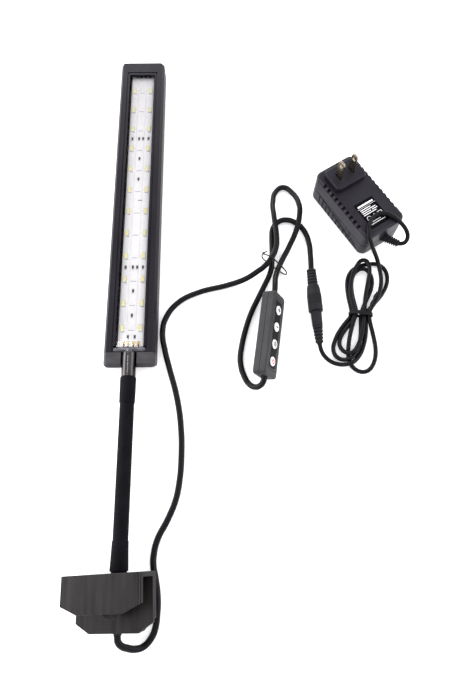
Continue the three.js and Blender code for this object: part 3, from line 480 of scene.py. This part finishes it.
def hank_route():
    """The tied hank: four figure-of-eight turns, each a lobe above the tie and one below it."""
    strands = [
        # up the right side from the plug, round the wide right lobe and down the left side
        [(-16.5, -42.4, 5.2), (-9.9, -40.9, 3.4), (-3.6, -33.8, 1.8), (0.4, -25.6, 1.8),
         (3.4, -12.7, 1.8), (3.8, 0, 3.1), (8.6, 6, 2.4), (17.8, 16, 1.8), (23.1, 24.2, 1.8),
         (25.5, 32.5, 1.8), (24, 40.9, 1.8), (18.3, 45.6, 1.8), (10, 45.4, 1.8), (1.5, 43.2, 1.8),
         (-4.6, 39, 1.8), (-8.3, 30.4, 1.8), (-8.6, 16.2, 1.8), (-7, 0, 3.1)],
        # the wide left lobe below, and the second turn above
        [(-13.7, -7.6, 1.8), (-20.1, -17.4, 1.8), (-24.6, -27.6, 1.8), (-23.2, -35, 1.8),
         (-18.5, -38.7, 4), (-12.8, -38.4, 5.2), (-8, -34.7, 2.6), (-4.2, -28.4, 1.8),
         (-1.2, -16.7, 1.8), (0.2, 0, 3.1), (4.4, 9.8, 1.8), (10.5, 21.8, 1.8), (12.4, 31.4, 1.8),
         (9, 39.4, 4.6), (3.4, 40.6, 5), (-2.2, 37, 3), (-5.2, 29.4, 1.8), (-5.3, 17.5, 1.8),
         (-3.4, 0, 3.1)],
        # the inner left lobe below, and the tall third turn above
        [(-10.4, -9.1, 3), (-17.8, -18.3, 2.4), (-19.6, -26.7, 1.9), (-15.6, -33, 4.4),
         (-10.2, -34, 4.8), (-5, -27, 5), (-0.6, -16, 5.2), (2, 0, 6.1), (4.5, 14, 5),
         (8, 28, 4.4), (10, 38, 7.6), (8.6, 46.6, 7), (4, 47.6, 5.4), (-0.4, 42, 8),
         (-5.4, 31, 5.2), (-7.4, 17, 5), (-5.2, 0, 6.1)],
        # the long right lobe below, and out to the adapter
        [(-8, -9.5, 5), (-10.9, -19.1, 4.6), (-12.4, -27.3, 4.8), (-12.9, -34.2, 1.8),
         (-11.7, -41.7, 1.8), (-7.6, -46.6, 1.8), (-1.5, -48.6, 1.8), (4.2, -45.6, 1.8),
         (8.4, -37.4, 1.8), (9.6, -27.8, 1.8), (8, -15.8, 3), (5.6, 0, 6.1), (11.9, 9.2, 6),
         (15.6, 16.2, 5.8), (18, 23.5, 5.4), (18.9, 30.2, 5), (18.4, 35.7, 5.4), (17, 41.5, 7)],
    ]
    return [HANK_CENTRE + Vector(point) for strand in strands for point in strand]


def settled(points, diameter, rounds=200):
    """Moves a cord's points apart where its turns would lie in each other, and onto the table."""
    home = np.array([tuple(p) for p in points])
    line = home.copy()
    count = len(line)
    clear = diameter * 1.03
    order = np.arange(count)
    step = np.linalg.norm(np.diff(home, axis=0), axis=1).mean()
    far = np.abs(order[:, None] - order[None]) * step > 3 * diameter
    for _ in range(rounds):
        gap = line[:, None] - line[None]
        distance = np.linalg.norm(gap, axis=2) + 1e-6
        touching = far & (distance < clear)
        push = np.where(touching, (clear - distance) / 2, 0)
        way = gap / distance[..., None]
        way[..., 2] *= 2
        way[..., 2] += 0.3 * np.sign(order[:, None] - order[None]) * (np.abs(gap[..., 2]) < 0.3)
        way /= np.linalg.norm(way, axis=2)[..., None] + 1e-9
        share = np.maximum(touching.sum(1), 1)[:, None]
        line += (push[..., None] * way).sum(1) / share
        line += (home - line) * (0.06, 0.06, 0.01)
        line[1:-1] += 0.2 * (line[:-2] + line[2:] - 2 * line[1:-1])
        line[:, 2] = np.maximum(line[:, 2], diameter / 2 + 0.05)
        line[0], line[-1] = home[0], home[-1]
    return [Vector(p) for p in line]


SAMPLE = 1.5


def adapter_lead_route():
    """From the DC plug to the adapter, with the turns of the hank moved clear of each other."""
    loose = along_spline([*PLUG_CORD_ROUTE, *hank_route(), *ADAPTER_CORD_ROUTE], SAMPLE)
    return settled(loose, THIN_CORD)[::2]


lamp_cord = cord_curve("lamp_lead", LAMP_CORD_ROUTE, LAMP_CORD)
stand_in(lamp_cord, "lamp_cord", JACKET)
controller_cord = cord_curve("controller_lead", CONTROLLER_CORD_ROUTE, LAMP_CORD)
stand_in(controller_cord, "controller_cord", JACKET)
ADAPTER_LEAD_ROUTE = adapter_lead_route()
adapter_lead = cord_curve("adapter_lead", ADAPTER_LEAD_ROUTE, THIN_CORD)
dressed(adapter_lead, "adapter_cord", JACKET,
        stands_for=["plug_cord", "adapter_cord_hank", "adapter_cord"])


# ---- Lamp head ----

BOARD_TOP = 11
LED_ROWS = 12
LED_PITCH = 21
FIRST_ROW = 116.7
LED_SPACING = 7.15


def row_y(rows):
    """How far along the head a number of rows below the first pair of LEDs lies."""
    return FIRST_ROW - rows * LED_PITCH


def make_shells():
    refined("head_housing", "housing_shell", HEAD_BLACK, 0.3, 3)
    refined("head_bezel", "bezel_frame", HEAD_BLACK, 0.28, 3, 30)
    refined("head_end_cap", "end_cap", END_CAP_BLACK, 0.35, 3, 30)
    refined("clear_lens", "lens_cover", CLEAR, 0.3, 2)


def make_board():
    low, high = (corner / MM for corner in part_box("led_board"))
    centre = ((low.x + high.x) / 2, (low.y + high.y) / 2)
    size = (high.x - low.x, high.y - low.y)
    bm = bmesh.new()
    add_plate(bm, centre, size, BOARD_TOP - 1.2, BOARD_TOP - 0.05, 0.08, 0.8)
    stand_in(mesh_object("board_core", bm), "led_board", BOARD_CORE)
    bm = bmesh.new()
    mask_size = (size[0] - 0.5, size[1] - 0.5)
    add_plate(bm, centre, mask_size, BOARD_TOP - 0.05, BOARD_TOP, 0.02, 0.8)
    dressed(mesh_object("board_mask", bm), "led_board", SOLDER_MASK)


def make_tracks():
    """Raised lines where tracks run under the mask, and the grey lines printed on it."""
    bm = bmesh.new()
    for x in (-3.6, 3.4):
        add_plate(bm, (x, 1.2), (0.9, 236), BOARD_TOP, BOARD_TOP + 0.02, 0.01, 0.3)
    for row in range(LED_ROWS):
        for side in (-1, 1):
            add_plate(bm, (side * 4.6, row_y(row)), (1.6, 1.1), BOARD_TOP, BOARD_TOP + 0.03, 0.01)
    dressed(mesh_object("board_tracks", bm), "led_board", TRACK)
    bm = bmesh.new()
    for x in (-9.1, 9.1):
        add_plate(bm, (x, 1.5), (0.14, 252), BOARD_TOP, BOARD_TOP + 0.02, 0.005, 0.05)
    for row in range(LED_ROWS):
        y = row_y(row) - 1.9
        add_plate(bm, (-0.1, y), (4.6, 0.42), BOARD_TOP, BOARD_TOP + 0.02, 0.005, 0.05)
        for side in (-1, 1):
            spot = (side * LED_SPACING + 1.1, row_y(row) - 3.3)
            add_plate(bm, spot, (2.2, 0.3), BOARD_TOP, BOARD_TOP + 0.02, 0.005, 0.05)
    add_plate(bm, (2.2, row_y(5.5)), (3.6, 0.9), BOARD_TOP, BOARD_TOP + 0.03, 0.005, 0.3)
    dressed(mesh_object("board_print", bm), "led_board", SILK)


def make_leds():
    frames, lights, feet = bmesh.new(), bmesh.new(), bmesh.new()
    top = BOARD_TOP + 0.9
    for row in range(LED_ROWS):
        for side in (-1, 1):
            spot = (side * LED_SPACING, row_y(row))
            add_loft(frames, [
                outline(1.5, 2.85, 0.25, BOARD_TOP, spot),
                outline(1.5, 2.85, 0.25, top - 0.08, spot),
                outline(1.42, 2.77, 0.2, top, spot),
                outline(1.22, 2.42, 0.4, top, spot),
                outline(1.05, 2.2, 0.4, top - 0.2, spot),
            ])
            add_loft(lights, [
                outline(1.12, 2.3, 0.4, top - 0.19, spot),
                outline(1.16, 2.36, 0.4, top - 0.08, spot),
                outline(0.8, 2, 0.4, top - 0.03, spot),
            ])
            for end in (-1, 1):
                place = (spot[0], spot[1] + end * 2.9)
                add_plate(feet, place, (2.2, 0.7), BOARD_TOP, BOARD_TOP + 0.16)
    dressed(mesh_object("led_frames", frames), "led_board", LED_FRAME)
    dressed(mesh_object("led_phosphor", lights), "led_board", PHOSPHOR)
    dressed(mesh_object("led_feet", feet), "led_board", SOLDER)


def make_resistors():
    spots = [(-2.3, row_y(11.35)), (3, row_y(11.35))]
    for half in (2.5, 8.5):
        spots += [(x, row_y(half)) for x in (-7, -1.1, 2.4, 7.1)]
        spots += [(0, row_y(half + step)) for step in (1, 2)]
    bodies, ends = bmesh.new(), bmesh.new()
    for x, y in spots:
        add_plate(bodies, (x, y), (1.6, 2.4), BOARD_TOP, BOARD_TOP + 0.52, 0.05, 0.1)
        for end in (-1, 1):
            place = (x, y + end * 1.42)
            add_plate(ends, place, (1.64, 0.42), BOARD_TOP, BOARD_TOP + 0.5, 0.08, 0.1)
            add_plate(ends, (x, y + end * 1.85), (1.9, 0.5), BOARD_TOP, BOARD_TOP + 0.14, 0.05)
    dressed(mesh_object("resistor_bodies", bodies), "led_board", RESISTOR_BLACK)
    dressed(mesh_object("resistor_ends", ends), "led_board", SOLDER)


LEAD_PLACES = (-5.2, -1.8, 2.4, 6.2)
BOARD_WIRE = 0.75


def make_leads():
    """The four leads, stripped and soldered to gold pads at the board's lower end."""
    pads = bmesh.new()
    drops = bmesh.new()
    for x in LEAD_PLACES:
        add_plate(pads, (x, -127.2), (2.6, 3.8), BOARD_TOP, BOARD_TOP + 0.05, 0.02, 0.5)
        add_plate(drops, (x, 133.2), (2.4, 2.2), BOARD_TOP, BOARD_TOP + 0.05, 0.02, 0.5)
        add_loft(drops, [
            outline(half, half * 1.2, half * 0.8, BOARD_TOP + z, (x, -127.8))
            for z, half in ((0.02, 0.7), (0.35, 0.6), (0.65, 0.4), (0.8, 0.2))
        ])
    dressed(mesh_object("gold_pads", pads), "led_board", GOLD_PAD)
    dressed(mesh_object("solder_drops", drops), "led_board", SOLDER)
    for i, x in enumerate(LEAD_PLACES):
        route = [
            (x, -127.6, BOARD_TOP + 0.8), (x, -129, BOARD_TOP + 0.9),
            (x, -130.6, BOARD_TOP + 0.3), (0.75 * x, -131, 9.6), (0.35 * x, -132, 8.6),
            (0.3 * x, -134.6, 8.3),
        ]
        wire = cord_curve(f"board_lead_{i + 1}", route, BOARD_WIRE)
        nodes = ["board_leads"] if i == 0 else []
        dressed(wire, "board_leads", JACKET, stands_for=nodes)


make_shells()
make_board()
make_tracks()
make_leds()
make_resistors()
make_leads()


# ---- Neck and gooseneck ----

TUBE_TOP = -135.5
TUBE_END = -154.6
FIRST_PIVOT = -180
LINK = 17.6
SLEEVE_RADIUS = 5.35
CLAMP_TOP = -289.3


def neck_place(y):
    return TO_METRES @ Matrix.Translation((0, y, NECK_Z))


def make_neck():
    refined("hinge_crossbar", "crossbar", BAR_METAL, 0.25, 3)
    length = TUBE_TOP - TUBE_END
    tube = turned("tube", [
        (0, 3.4), (0, 5.2), (0.25, 5.45), (length - 0.4, 5.45), (length, 5.2), (length, 4.55),
        (length + 5, 4.55), (length + 5, 3.4), (0, 3.4),
    ], neck_place(TUBE_TOP), 64)
    stand_in(rounded(tube, 0.12), "neck_tube", GUNMETAL)
    pin = turned("tube_pin", [(0, 0), (0, 0.45), (0.12, 0.62), (0.25, 0.62), (0.25, 0)],
                 TO_METRES @ Matrix.Translation((0, TUBE_TOP - 2.6, NECK_Z + 5.3)) @ ALONG_Z, 24)
    dressed(pin, "neck_tube", PRINT_DARK)
    collar = turned("collar_upper", [
        (0, 5.42), (0, 5.6), (0.5, 5.85), (1.2, 5.92), (8, 5.9), (15, 5.84), (18.6, 5.78),
        (19.6, 5.65), (20, 5.5), (20, 5.42), (0, 5.42),
    ], neck_place(TUBE_END - 0.1), 64)
    stand_in(collar, "upper_collar", SLEEVE)


def sleeve_mesh(name, start, end):
    """A length of the gooseneck's sleeve, which shows the coil inside it faintly."""
    coil = 2.2
    rings = max(4, round((start - end) / coil) * 6)
    profile = [(0, 0)]
    for i in range(rings + 1):
        along = (start - end) * i / rings
        wave = 0.035 * math.cos(2 * math.pi * (start - along) / coil)
        profile.append((along, SLEEVE_RADIUS - 0.035 + wave))
    profile.append((start - end, 0))
    return turned(name, profile, neck_place(start), 48)


def make_gooseneck():
    half = LINK / 2
    chain = ["neck", *[f"gooseneck_{i}" for i in range(1, 6)], "base"]
    nodes = ["gooseneck_tip", *[f"gooseneck_link_{i}" for i in range(1, 6)]]
    top = sleeve_mesh("sleeve_top", TUBE_END - 5.3, FIRST_PIVOT + half)
    stand_in(top, "gooseneck_tip", SLEEVE)
    for i, (above, below) in enumerate(zip(chain, chain[1:])):
        pivot = FIRST_PIVOT - i * LINK
        start, end = pivot + half, pivot - half
        piece = sleeve_mesh(f"sleeve_{i + 1}", start, end)
        piece.data.materials.append(SLEEVE)
        if i:
            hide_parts(nodes[i])
        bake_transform(piece)
    lowest = FIRST_PIVOT - 5 * LINK - half
    bottom = sleeve_mesh("sleeve_bottom", lowest, CLAMP_TOP - 4)
    stand_in(bottom, "gooseneck_base", SLEEVE)
    collar = turned("collar_lower", [
        (0, 5.42), (0, 5.5), (0.6, 5.7), (7, 5.85), (12, 6.05), (18.9, 6.3), (19.3, 6.2),
        (19.3, 5.42), (0, 5.42),
    ], neck_place(-270.4), 64)
    stand_in(collar, "lower_collar", SLEEVE)


make_neck()
make_gooseneck()


# ---- Clamp ----

SCREW_SPOT = (3, -20.5)
KNOB_TOP = -31.9
KNOB_HEIGHT = 6.6
PAD_FACE = -7.1
SOCKET = (-1.95, -25.5)


def clamp_place(x, y, z):
    return CLAMP @ Matrix.Translation((x, y, z))


def knob_outline(radius, depth, z):
    """A six-lobed outline round the thumb screw's axis."""
    points = []
    for i in range(96):
        angle = 2 * math.pi * i / 96
        reach = radius + depth * math.cos(6 * angle)
        points.append(Vector((reach * math.cos(angle), reach * math.sin(angle), z)))
    return points


def make_thumb_screw():
    bm = bmesh.new()
    low = -KNOB_HEIGHT
    add_loft(bm, [
        knob_outline(6.2, 0.4, 0), knob_outline(6.75, 0.55, -0.5), knob_outline(6.9, 0.6, -1.2),
        knob_outline(6.9, 0.6, low + 1.1), knob_outline(6.7, 0.55, low + 0.4),
        knob_outline(6.1, 0.45, low), knob_outline(4.6, 0.1, low + 0.1),
        knob_outline(4.2, 0, low + 0.9),
    ])
    knob = mesh_object("knob", bm, clamp_place(*SCREW_SPOT, KNOB_TOP))
    stand_in(rounded(knob, 0.15, 2, 40), "thumb_screw", CLAMP_BLACK)
    length = PAD_FACE - 1.5 - KNOB_TOP
    profile = [(0, 0), (0, 2.1)]
    pitch = 0.8
    for i in range(int(length / pitch)):
        profile += [(i * pitch + 0.2, 2.1), (i * pitch + 0.6, 2.5)]
    profile += [(length, 2.0), (length, 0)]
    upright = Matrix.Rotation(math.radians(-90), 4, "X")
    shaft = turned("screw_shaft", profile,
                   clamp_place(*SCREW_SPOT, KNOB_TOP) @ upright, 32)
    dressed(shaft, "thumb_screw", STEEL)


def make_pads():
    ribs = [(0, 0), (0, 0.6)]
    for radius in (1.6, 2.6, 3.6, 4.6, 5.4):
        ribs += [(0.28, radius - 0.35), (0, radius)]
    profile = [*ribs, (0.1, 5.9), (0.4, 6.2), (2.7, 6.2), (3, 5.9), (3, 2.85), (1.3, 2.85),
               (1.3, 0)]
    down = Matrix.Rotation(math.radians(90), 4, "X")
    pad = turned("foot_pad", profile, clamp_place(*SCREW_SPOT, PAD_FACE) @ down, 48)
    stand_in(pad, "pressure_pad", RUBBER)
    refined("clamp_front_pad", "jaw_pad", RUBBER, 0.2, 3)


def make_clamp():
    refined("clamp_front_plate", "front_plate", CLAMP_BLACK, 0.25, 3, 30)
    refined("clamp_bracket", "bracket", CLAMP_BLACK, 0.3, 3, 30)
    refined("clamp_rear_housing", "rear_cover", CLAMP_BLACK, 0.35, 3, 30)
    refined("clamp_screw_1", "cover_screw_1", STEEL, 0.12, 2)
    refined("clamp_screw_2", "cover_screw_2", STEEL, 0.12, 2)
    make_thumb_screw()
    make_pads()
    gland = turned("gland", [
        (0, 2.35), (0, 2.7), (1.8, 2.7), (1.9, 3.3), (2.6, 3.3), (2.8, 2.75), (3.8, 2.6),
        (4.1, 2.5), (4.1, 2.35), (0, 2.35),
    ], clamp_place(SOCKET[0], -33.5, SOCKET[1]), 48)
    stand_in(gland, "clamp_cord_grommet", RUBBER)


make_clamp()


# ---- In-line controller ----

LABEL_FACE = 5.5
BUTTON_PLACES = (20, 6, -8, -22)
BUTTON_TOP = LABEL_FACE + 0.7


def add_ring(bm, centre, radius, width, low, high, start=0.0, end=360.0, steps=32):
    """Adds a flat ring, or an arc of one from a start to an end angle in degrees."""
    angles = [math.radians(start + (end - start) * i / steps) for i in range(steps + 1)]
    whole = end - start >= 360
    sections = []
    for angle in angles[:-1] if whole else angles:
        way = Vector((math.cos(angle), math.sin(angle), 0))
        middle = Vector((*centre, 0))
        sections.append([bm.verts.new(middle + way * r + Vector((0, 0, z))) for r, z in (
            (radius - width / 2, low), (radius + width / 2, low),
            (radius + width / 2, high), (radius - width / 2, high))])
    pairs = list(zip(sections, sections[1:]))
    if whole:
        pairs.append((sections[-1], sections[0]))
    for a, b in pairs:
        for i in range(4):
            j = (i + 1) % 4
            bm.faces.new([a[i], a[j], b[j], b[i]])
    if not whole:
        bm.faces.new(sections[0])
        bm.faces.new(sections[-1][::-1])


def sign_mesh(index, x):
    """A generic sign on a button: plus, minus, three dots, or a broken ring with a bar."""
    bm = bmesh.new()
    low, high = BUTTON_TOP - 0.02, BUTTON_TOP + 0.05
    if index == 0:
        add_plate(bm, (x, 0), (1.1, 3.8), low, high, 0.01, 0.1)
        add_plate(bm, (x + 1.2, 0), (1.3, 1.1), low, high, 0.01, 0.1)
        add_plate(bm, (x - 1.2, 0), (1.3, 1.1), low, high, 0.01, 0.1)
    elif index == 1:
        add_plate(bm, (x, 0), (1.1, 3.8), low, high, 0.01, 0.1)
    elif index == 2:
        add_ring(bm, (x, 0), 1.6, 0.9, low, high)
        add_ring(bm, (x, 0), 0.4, 0.5, low, high)
    else:
        add_ring(bm, (x, 0), 1.6, 0.9, low, high, 40, 320)
        add_plate(bm, (x + 1.3, 0), (2, 0.9), low, high, 0.01, 0.1)
    return bm


def make_buttons():
    pieces = []
    for i, x in enumerate(BUTTON_PLACES):
        height = BUTTON_TOP - 1.4
        cap = turned(f"button_{i + 1}", [
            (0, 0), (0, 3.1), (0.12, 3.4), (0.4, 3.6), (height, 3.6), (height, 0),
        ], CONTROLLER @ Matrix.Translation((x, 0, BUTTON_TOP)) @ Matrix.Rotation(
            math.radians(90), 4, "X"), 48)
        node = f"controller_button_{i + 1}"
        pieces.append(stand_in(cap, node, BUTTON_WHITE))
        sign = mesh_object(f"button_sign_{i + 1}", sign_mesh(i, x), CONTROLLER)
        pieces.append(dressed(sign, node, PRINT_RED if i == 3 else PRINT_DARK))
    return pieces


def make_controller():
    pieces = [
        refined("controller_base", "controller_bottom_shell", CONTROLLER_GREY, 0.06, 2),
        refined("controller_cover", "controller_top_shell", CONTROLLER_GREY, 0.1, 2),
        refined("controller_overlay", "controller_film", FILM_BLACK, 0.05, 1),
        refined("controller_board", "controller_circuit", CIRCUIT_GREEN, 0.08, 1),
    ]
    border = bmesh.new()
    low, high = LABEL_FACE - 0.06, LABEL_FACE - 0.02
    for y in (-5.7, 5.7):
        add_plate(border, (0, y), (55.2, 0.18), low, high, 0.005, 0.05)
    for x in (-27.7, 27.7):
        add_plate(border, (x, 0), (0.18, 11.2), low, high, 0.005, 0.05)
    pieces.append(dressed(
        mesh_object("film_border", border, CONTROLLER), "controller_overlay", SILK))
    half = 34
    for side, length, word in ((1, 2.5, "top"), (-1, 0.8, "bottom")):
        place = CONTROLLER @ Matrix.Translation((side * (half - 3.6), 0, 0))
        place = place @ (ALONG_X if side > 0 else ALONG_MINUS_X)
        relief = turned(f"controller_gland_{word}", [
            (0, 2.35), (0, 3.2), (1.3, 3.2), (1.4, 2.65), (3.5 + length * 0.5, 2.65),
            (3.6 + length, 2.55), (3.6 + length, 2.35), (0, 2.35),
        ], place, 40)
        pieces.append(stand_in(relief, f"controller_grommet_{word}", RUBBER))
    return pieces + make_buttons()


controller_pieces = make_controller()


# ---- DC connectors ----

def ribbed(length, start, end, ribs, depth=0.75):
    """The profile of a tapered strain relief with rounded ribs."""
    profile = [(0, 0)]
    pitch = length / ribs
    for i in range(ribs):
        radius = start + (end - start) * i / (ribs - 1)
        at = i * pitch
        profile += [
            (at, radius - 0.15), (at + 0.08 * pitch, radius), (at + 0.5 * pitch, radius),
            (at + 0.58 * pitch, radius - 0.15), (at + 0.62 * pitch, radius - depth),
            (at + 0.97 * pitch, radius - depth),
        ]
    return [*profile, (length, end - depth), (length, 0)]


def make_connectors():
    body = [(0, 0), (0, 3.9), (0.5, 4.5), (1.4, 4.9), (4, 5.3), (8.5, 5.6)]
    for i in range(6):
        at = 9 + i * 1.5
        body += [(at, 5.8), (at + 0.95, 5.8), (at + 1.05, 5.45), (at + 1.4, 5.45)]
    body += [(18.2, 5.8), (23, 5.8), (23.5, 5.3), (23.5, 3.2), (12.5, 3.2), (12.5, 0)]
    plug = [(0, 0), (0, 3.9), (0.4, 4.3), (6, 4.3), (12, 4.1), (12.7, 3.6), (12.7, 0)]
    made = [
        ("jack_relief", "dc_jack_relief", ribbed(13.1, 3.85, 4.15, 5, 1.05), 0, RUBBER),
        ("jack_body", "dc_jack_body", body, 13.3, RUBBER),
        ("jack_pin", "dc_jack_pin", [
            (0, 0), (0, 1), (7.4, 1), (8, 0.85), (8.5, 0.4), (8.5, 0)], 26, BLADE_METAL),
        ("plug_barrel", "dc_plug_barrel", [
            (0, 1.35), (0, 2.55), (0.2, 2.75), (9.4, 2.75), (9.4, 1.3), (0.2, 1.3), (0, 1.35)],
         27.3, BLADE_METAL),
        ("plug_body", "dc_plug_body", plug, 36.9, RUBBER),
        ("plug_relief", "dc_plug_relief", ribbed(14.3, 3.9, 3.1, 5, 1.1), 49.7, RUBBER),
    ]
    pieces = []
    for name, node, profile, along, material in made:
        piece = turned(name, profile, CONNECTORS @ Matrix.Translation((0, -along, 0)), 48)
        pieces.append(stand_in(rounded(piece, 0.1, 2, 40), node, material))
    return pieces


connector_pieces = make_connectors()


# ---- Adapter ----

LABEL_TOP = 28.05


def make_label():
    """A blank label: a bar, plain rules and two plain outlines, with no lettering."""
    label = refined("adapter_label", "label_film", FILM_BLACK, 0.05, 1)
    bm = bmesh.new()
    low, high = LABEL_TOP - 0.01, LABEL_TOP + 0.03

    def rule(y, start, end, width):
        add_plate(bm, ((start + end) / 2, y), (end - start, width), low, high, 0.005, 0.05)

    rule(-5.4, -7.4, 7.4, 1.5)
    rule(-7.3, -8.6, 8.6, 0.25)
    for y, start, end in ((-8.9, -7.4, 2.6), (-10.6, -7.4, 6.4), (-12.3, -7.4, 0.6),
                          (-12.3, 1.8, 7), (-14, -7.4, 4.8), (-21.8, -7.4, 3.2),
                          (-23.6, -7.4, 6.6)):
        rule(y, start, end, 0.7)
    add_ring(bm, (-5, -18), 1.9, 0.4, low, high)
    add_ring(bm, (0.6, -18), 1.9, 0.4, low, high, 0, 360, 4)
    for x in (4, 7.6):
        add_plate(bm, (x, -18), (0.4, 3.4), low, high, 0.005, 0.05)
    for y in (-19.7, -16.3):
        rule(y, 3.8, 7.8, 0.4)
    marks = mesh_object("label_rules", bm, ADAPTER @ Matrix.Translation((-1.5, -3.5, 0)))
    return [label, dressed(marks, "adapter_label", PRINT_WHITE)]


def make_adapter():
    relief_place = ADAPTER @ Matrix.Translation((-0.6, -33.8, 13.5)) @ Matrix.Rotation(
        math.radians(30), 4, "Z")
    relief = turned("adapter_strain_relief", ribbed(16.6, 3.8, 3.1, 9, 0.8), relief_place, 40)
    return [
        refined("adapter_base", "adapter_bottom_shell", ADAPTER_BLACK, 0.3, 2, 30),
        refined("adapter_cover", "adapter_top_shell", ADAPTER_BLACK, 0.3, 2, 30),
        refined("adapter_plug_block", "plug_block", ADAPTER_BLACK, 0.25, 2, 30),
        refined("adapter_blade_left", "blade_left", BLADE_METAL, 0.2, 3, 30),
        refined("adapter_blade_right", "blade_right", BLADE_METAL, 0.2, 3, 30),
        refined("adapter_board", "adapter_circuit", CIRCUIT_GREEN, 0.3, 2),
        stand_in(relief, "adapter_relief", RUBBER),
        *make_label(),
    ]


adapter_pieces = make_adapter()


# ---- Ties ----

TWIST_TIE_ROUTE = [
    (106.2, -47.6, 7.6), (104.8, -49, 9.2), (105.4, -51, 11.2), (107.6, -52.6, 12.6),
    (111.6, -55, 13), (116, -58.7, 11.6), (120.6, -62.6, 9.4), (124, -65.6, 6.2),
    (123.4, -65.4, 2.4), (119.4, -62.2, 0.8), (113, -56.8, 0.7), (107.4, -52, 0.9),
    (104.6, -49.6, 3), (104.9, -48.4, 5.4), (108.6, -46.4, 7.6),
]


TIE_WIRE = 1.1
BAND_HALF_WIDTH = 8.9
BAND_HALF_HEIGHT = 4.3
BAND_MIDDLE = 5.0
BAND_TURNS = 2.4
BAND_STEPS = 60
TAIL_START = Vector((4.4, 0.8, 10.2))
TAIL_END = Vector((13, 16.6, 8.8))
TAIL_STEPS = 24
TAIL_TWIST = 2.6 * math.pi
TAIL_SPREAD = 0.55


def squared(wave):
    """A sine or cosine pushed outward, so that a round turn becomes a rounded rectangle."""
    return math.copysign(abs(wave) ** 0.6, wave)


def make_band():
    """The tie's wire, wound round the hank's waist at a slight slant."""
    route = []
    for i in range(BAND_STEPS + 1):
        angle = 2 * math.pi * BAND_TURNS * i / BAND_STEPS
        x = BAND_HALF_WIDTH * squared(math.cos(angle))
        z = BAND_MIDDLE + BAND_HALF_HEIGHT * squared(math.sin(angle))
        y = -1.9 + 2.6 * i / BAND_STEPS - 0.12 * x
        route.append(HANK_CENTRE + Vector((x - 0.7, y, z)))
    band = cord_curve("hank_band", route, TIE_WIRE)
    return stand_in(band, "hank_tie", RUBBER)


def make_tail(name, side):
    """One of the tie's two ends, which are twisted round each other."""
    route = []
    for i in range(TAIL_STEPS + 1):
        way = TAIL_START.lerp(TAIL_END, i / TAIL_STEPS)
        angle = TAIL_TWIST * i / TAIL_STEPS
        swing = Vector((0.8, -0.6, 0)) * (TAIL_SPREAD * side * math.cos(angle))
        lift = Vector((0, 0, 0.5 * side * math.sin(angle)))
        route.append(HANK_CENTRE + way + swing + lift)
    tail = cord_curve(f"hank_band_tail_{name}", route, TIE_WIRE)
    return dressed(tail, "hank_tie", RUBBER)


def make_ties():
    twist = cord_curve("wire_tie", TWIST_TIE_ROUTE, TIE_WIRE)
    stand_in(twist, "twist_tie", RUBBER)
    return [make_band(), make_tail("a", 1), make_tail("b", -1)]


tie_pieces = make_ties()


# ---- Floor and light ----

def make_floor():
    bm = bmesh.new()
    bmesh.ops.create_grid(bm, x_segments=2, y_segments=2, size=3)
    floor = mesh_object("floor", bm, Matrix.Translation((0, 0, -0.0002)))
    table = surface(
        "pale table", (0.9, 0.9, 0.898), (0.93, 0.93, 0.928), (0.55, 0.65), (0.002,) * 3, 0.05,
        (0.3,) * 3)
    glow = table.node_tree.nodes["Principled BSDF"].inputs
    glow["Emission Color"].default_value = (1, 0.99, 0.975, 1)
    glow["Emission Strength"].default_value = TABLE_GLOW
    floor.data.materials.append(table)


def area_light(name, place, target, size, power):
    data = bpy.data.lights.new(name, "AREA")
    data.shape = "RECTANGLE"
    data.size, data.size_y = size
    data.energy = power
    light = new_object(name, data)
    light.location = place
    way = Vector(target) - Vector(place)
    light.rotation_euler = way.to_track_quat("-Z", "Y").to_euler()


LIT_SPOT = (0.08, -0.1, 0)
WORLD_STRENGTH = 1.3
TABLE_GLOW = 0.3
AREA_LIGHTS = [
    # name, place and size in metres, power in watts
    ("left", (-1.15, 0.1, 0.45), (1.5, 0.7), 20),
    ("right", (1.1, 0.1, 0.6), (1.3, 0.7), 7),
    ("far", (-0.35, 2.1, 1.2), (1.1, 0.6), 24),
    ("near", (-0.1, -1.3, 1.1), (0.6, 0.4), 3),
    ("overhead", (-0.26, 0.24, 1.32), (0.12, 0.16), 1.3),
]


def make_light():
    world = bpy.data.worlds.new("studio")
    bpy.context.scene.world = world
    world.use_nodes = True
    background = world.node_tree.nodes["Background"]
    background.inputs["Color"].default_value = (1, 0.975, 1.02, 1)
    background.inputs["Strength"].default_value = WORLD_STRENGTH
    for name, place, size, power in AREA_LIGHTS:
        area_light(name, place, LIT_SPOT, size, power)
    bpy.context.scene.view_settings.view_transform = "Standard"


make_floor()
make_light()
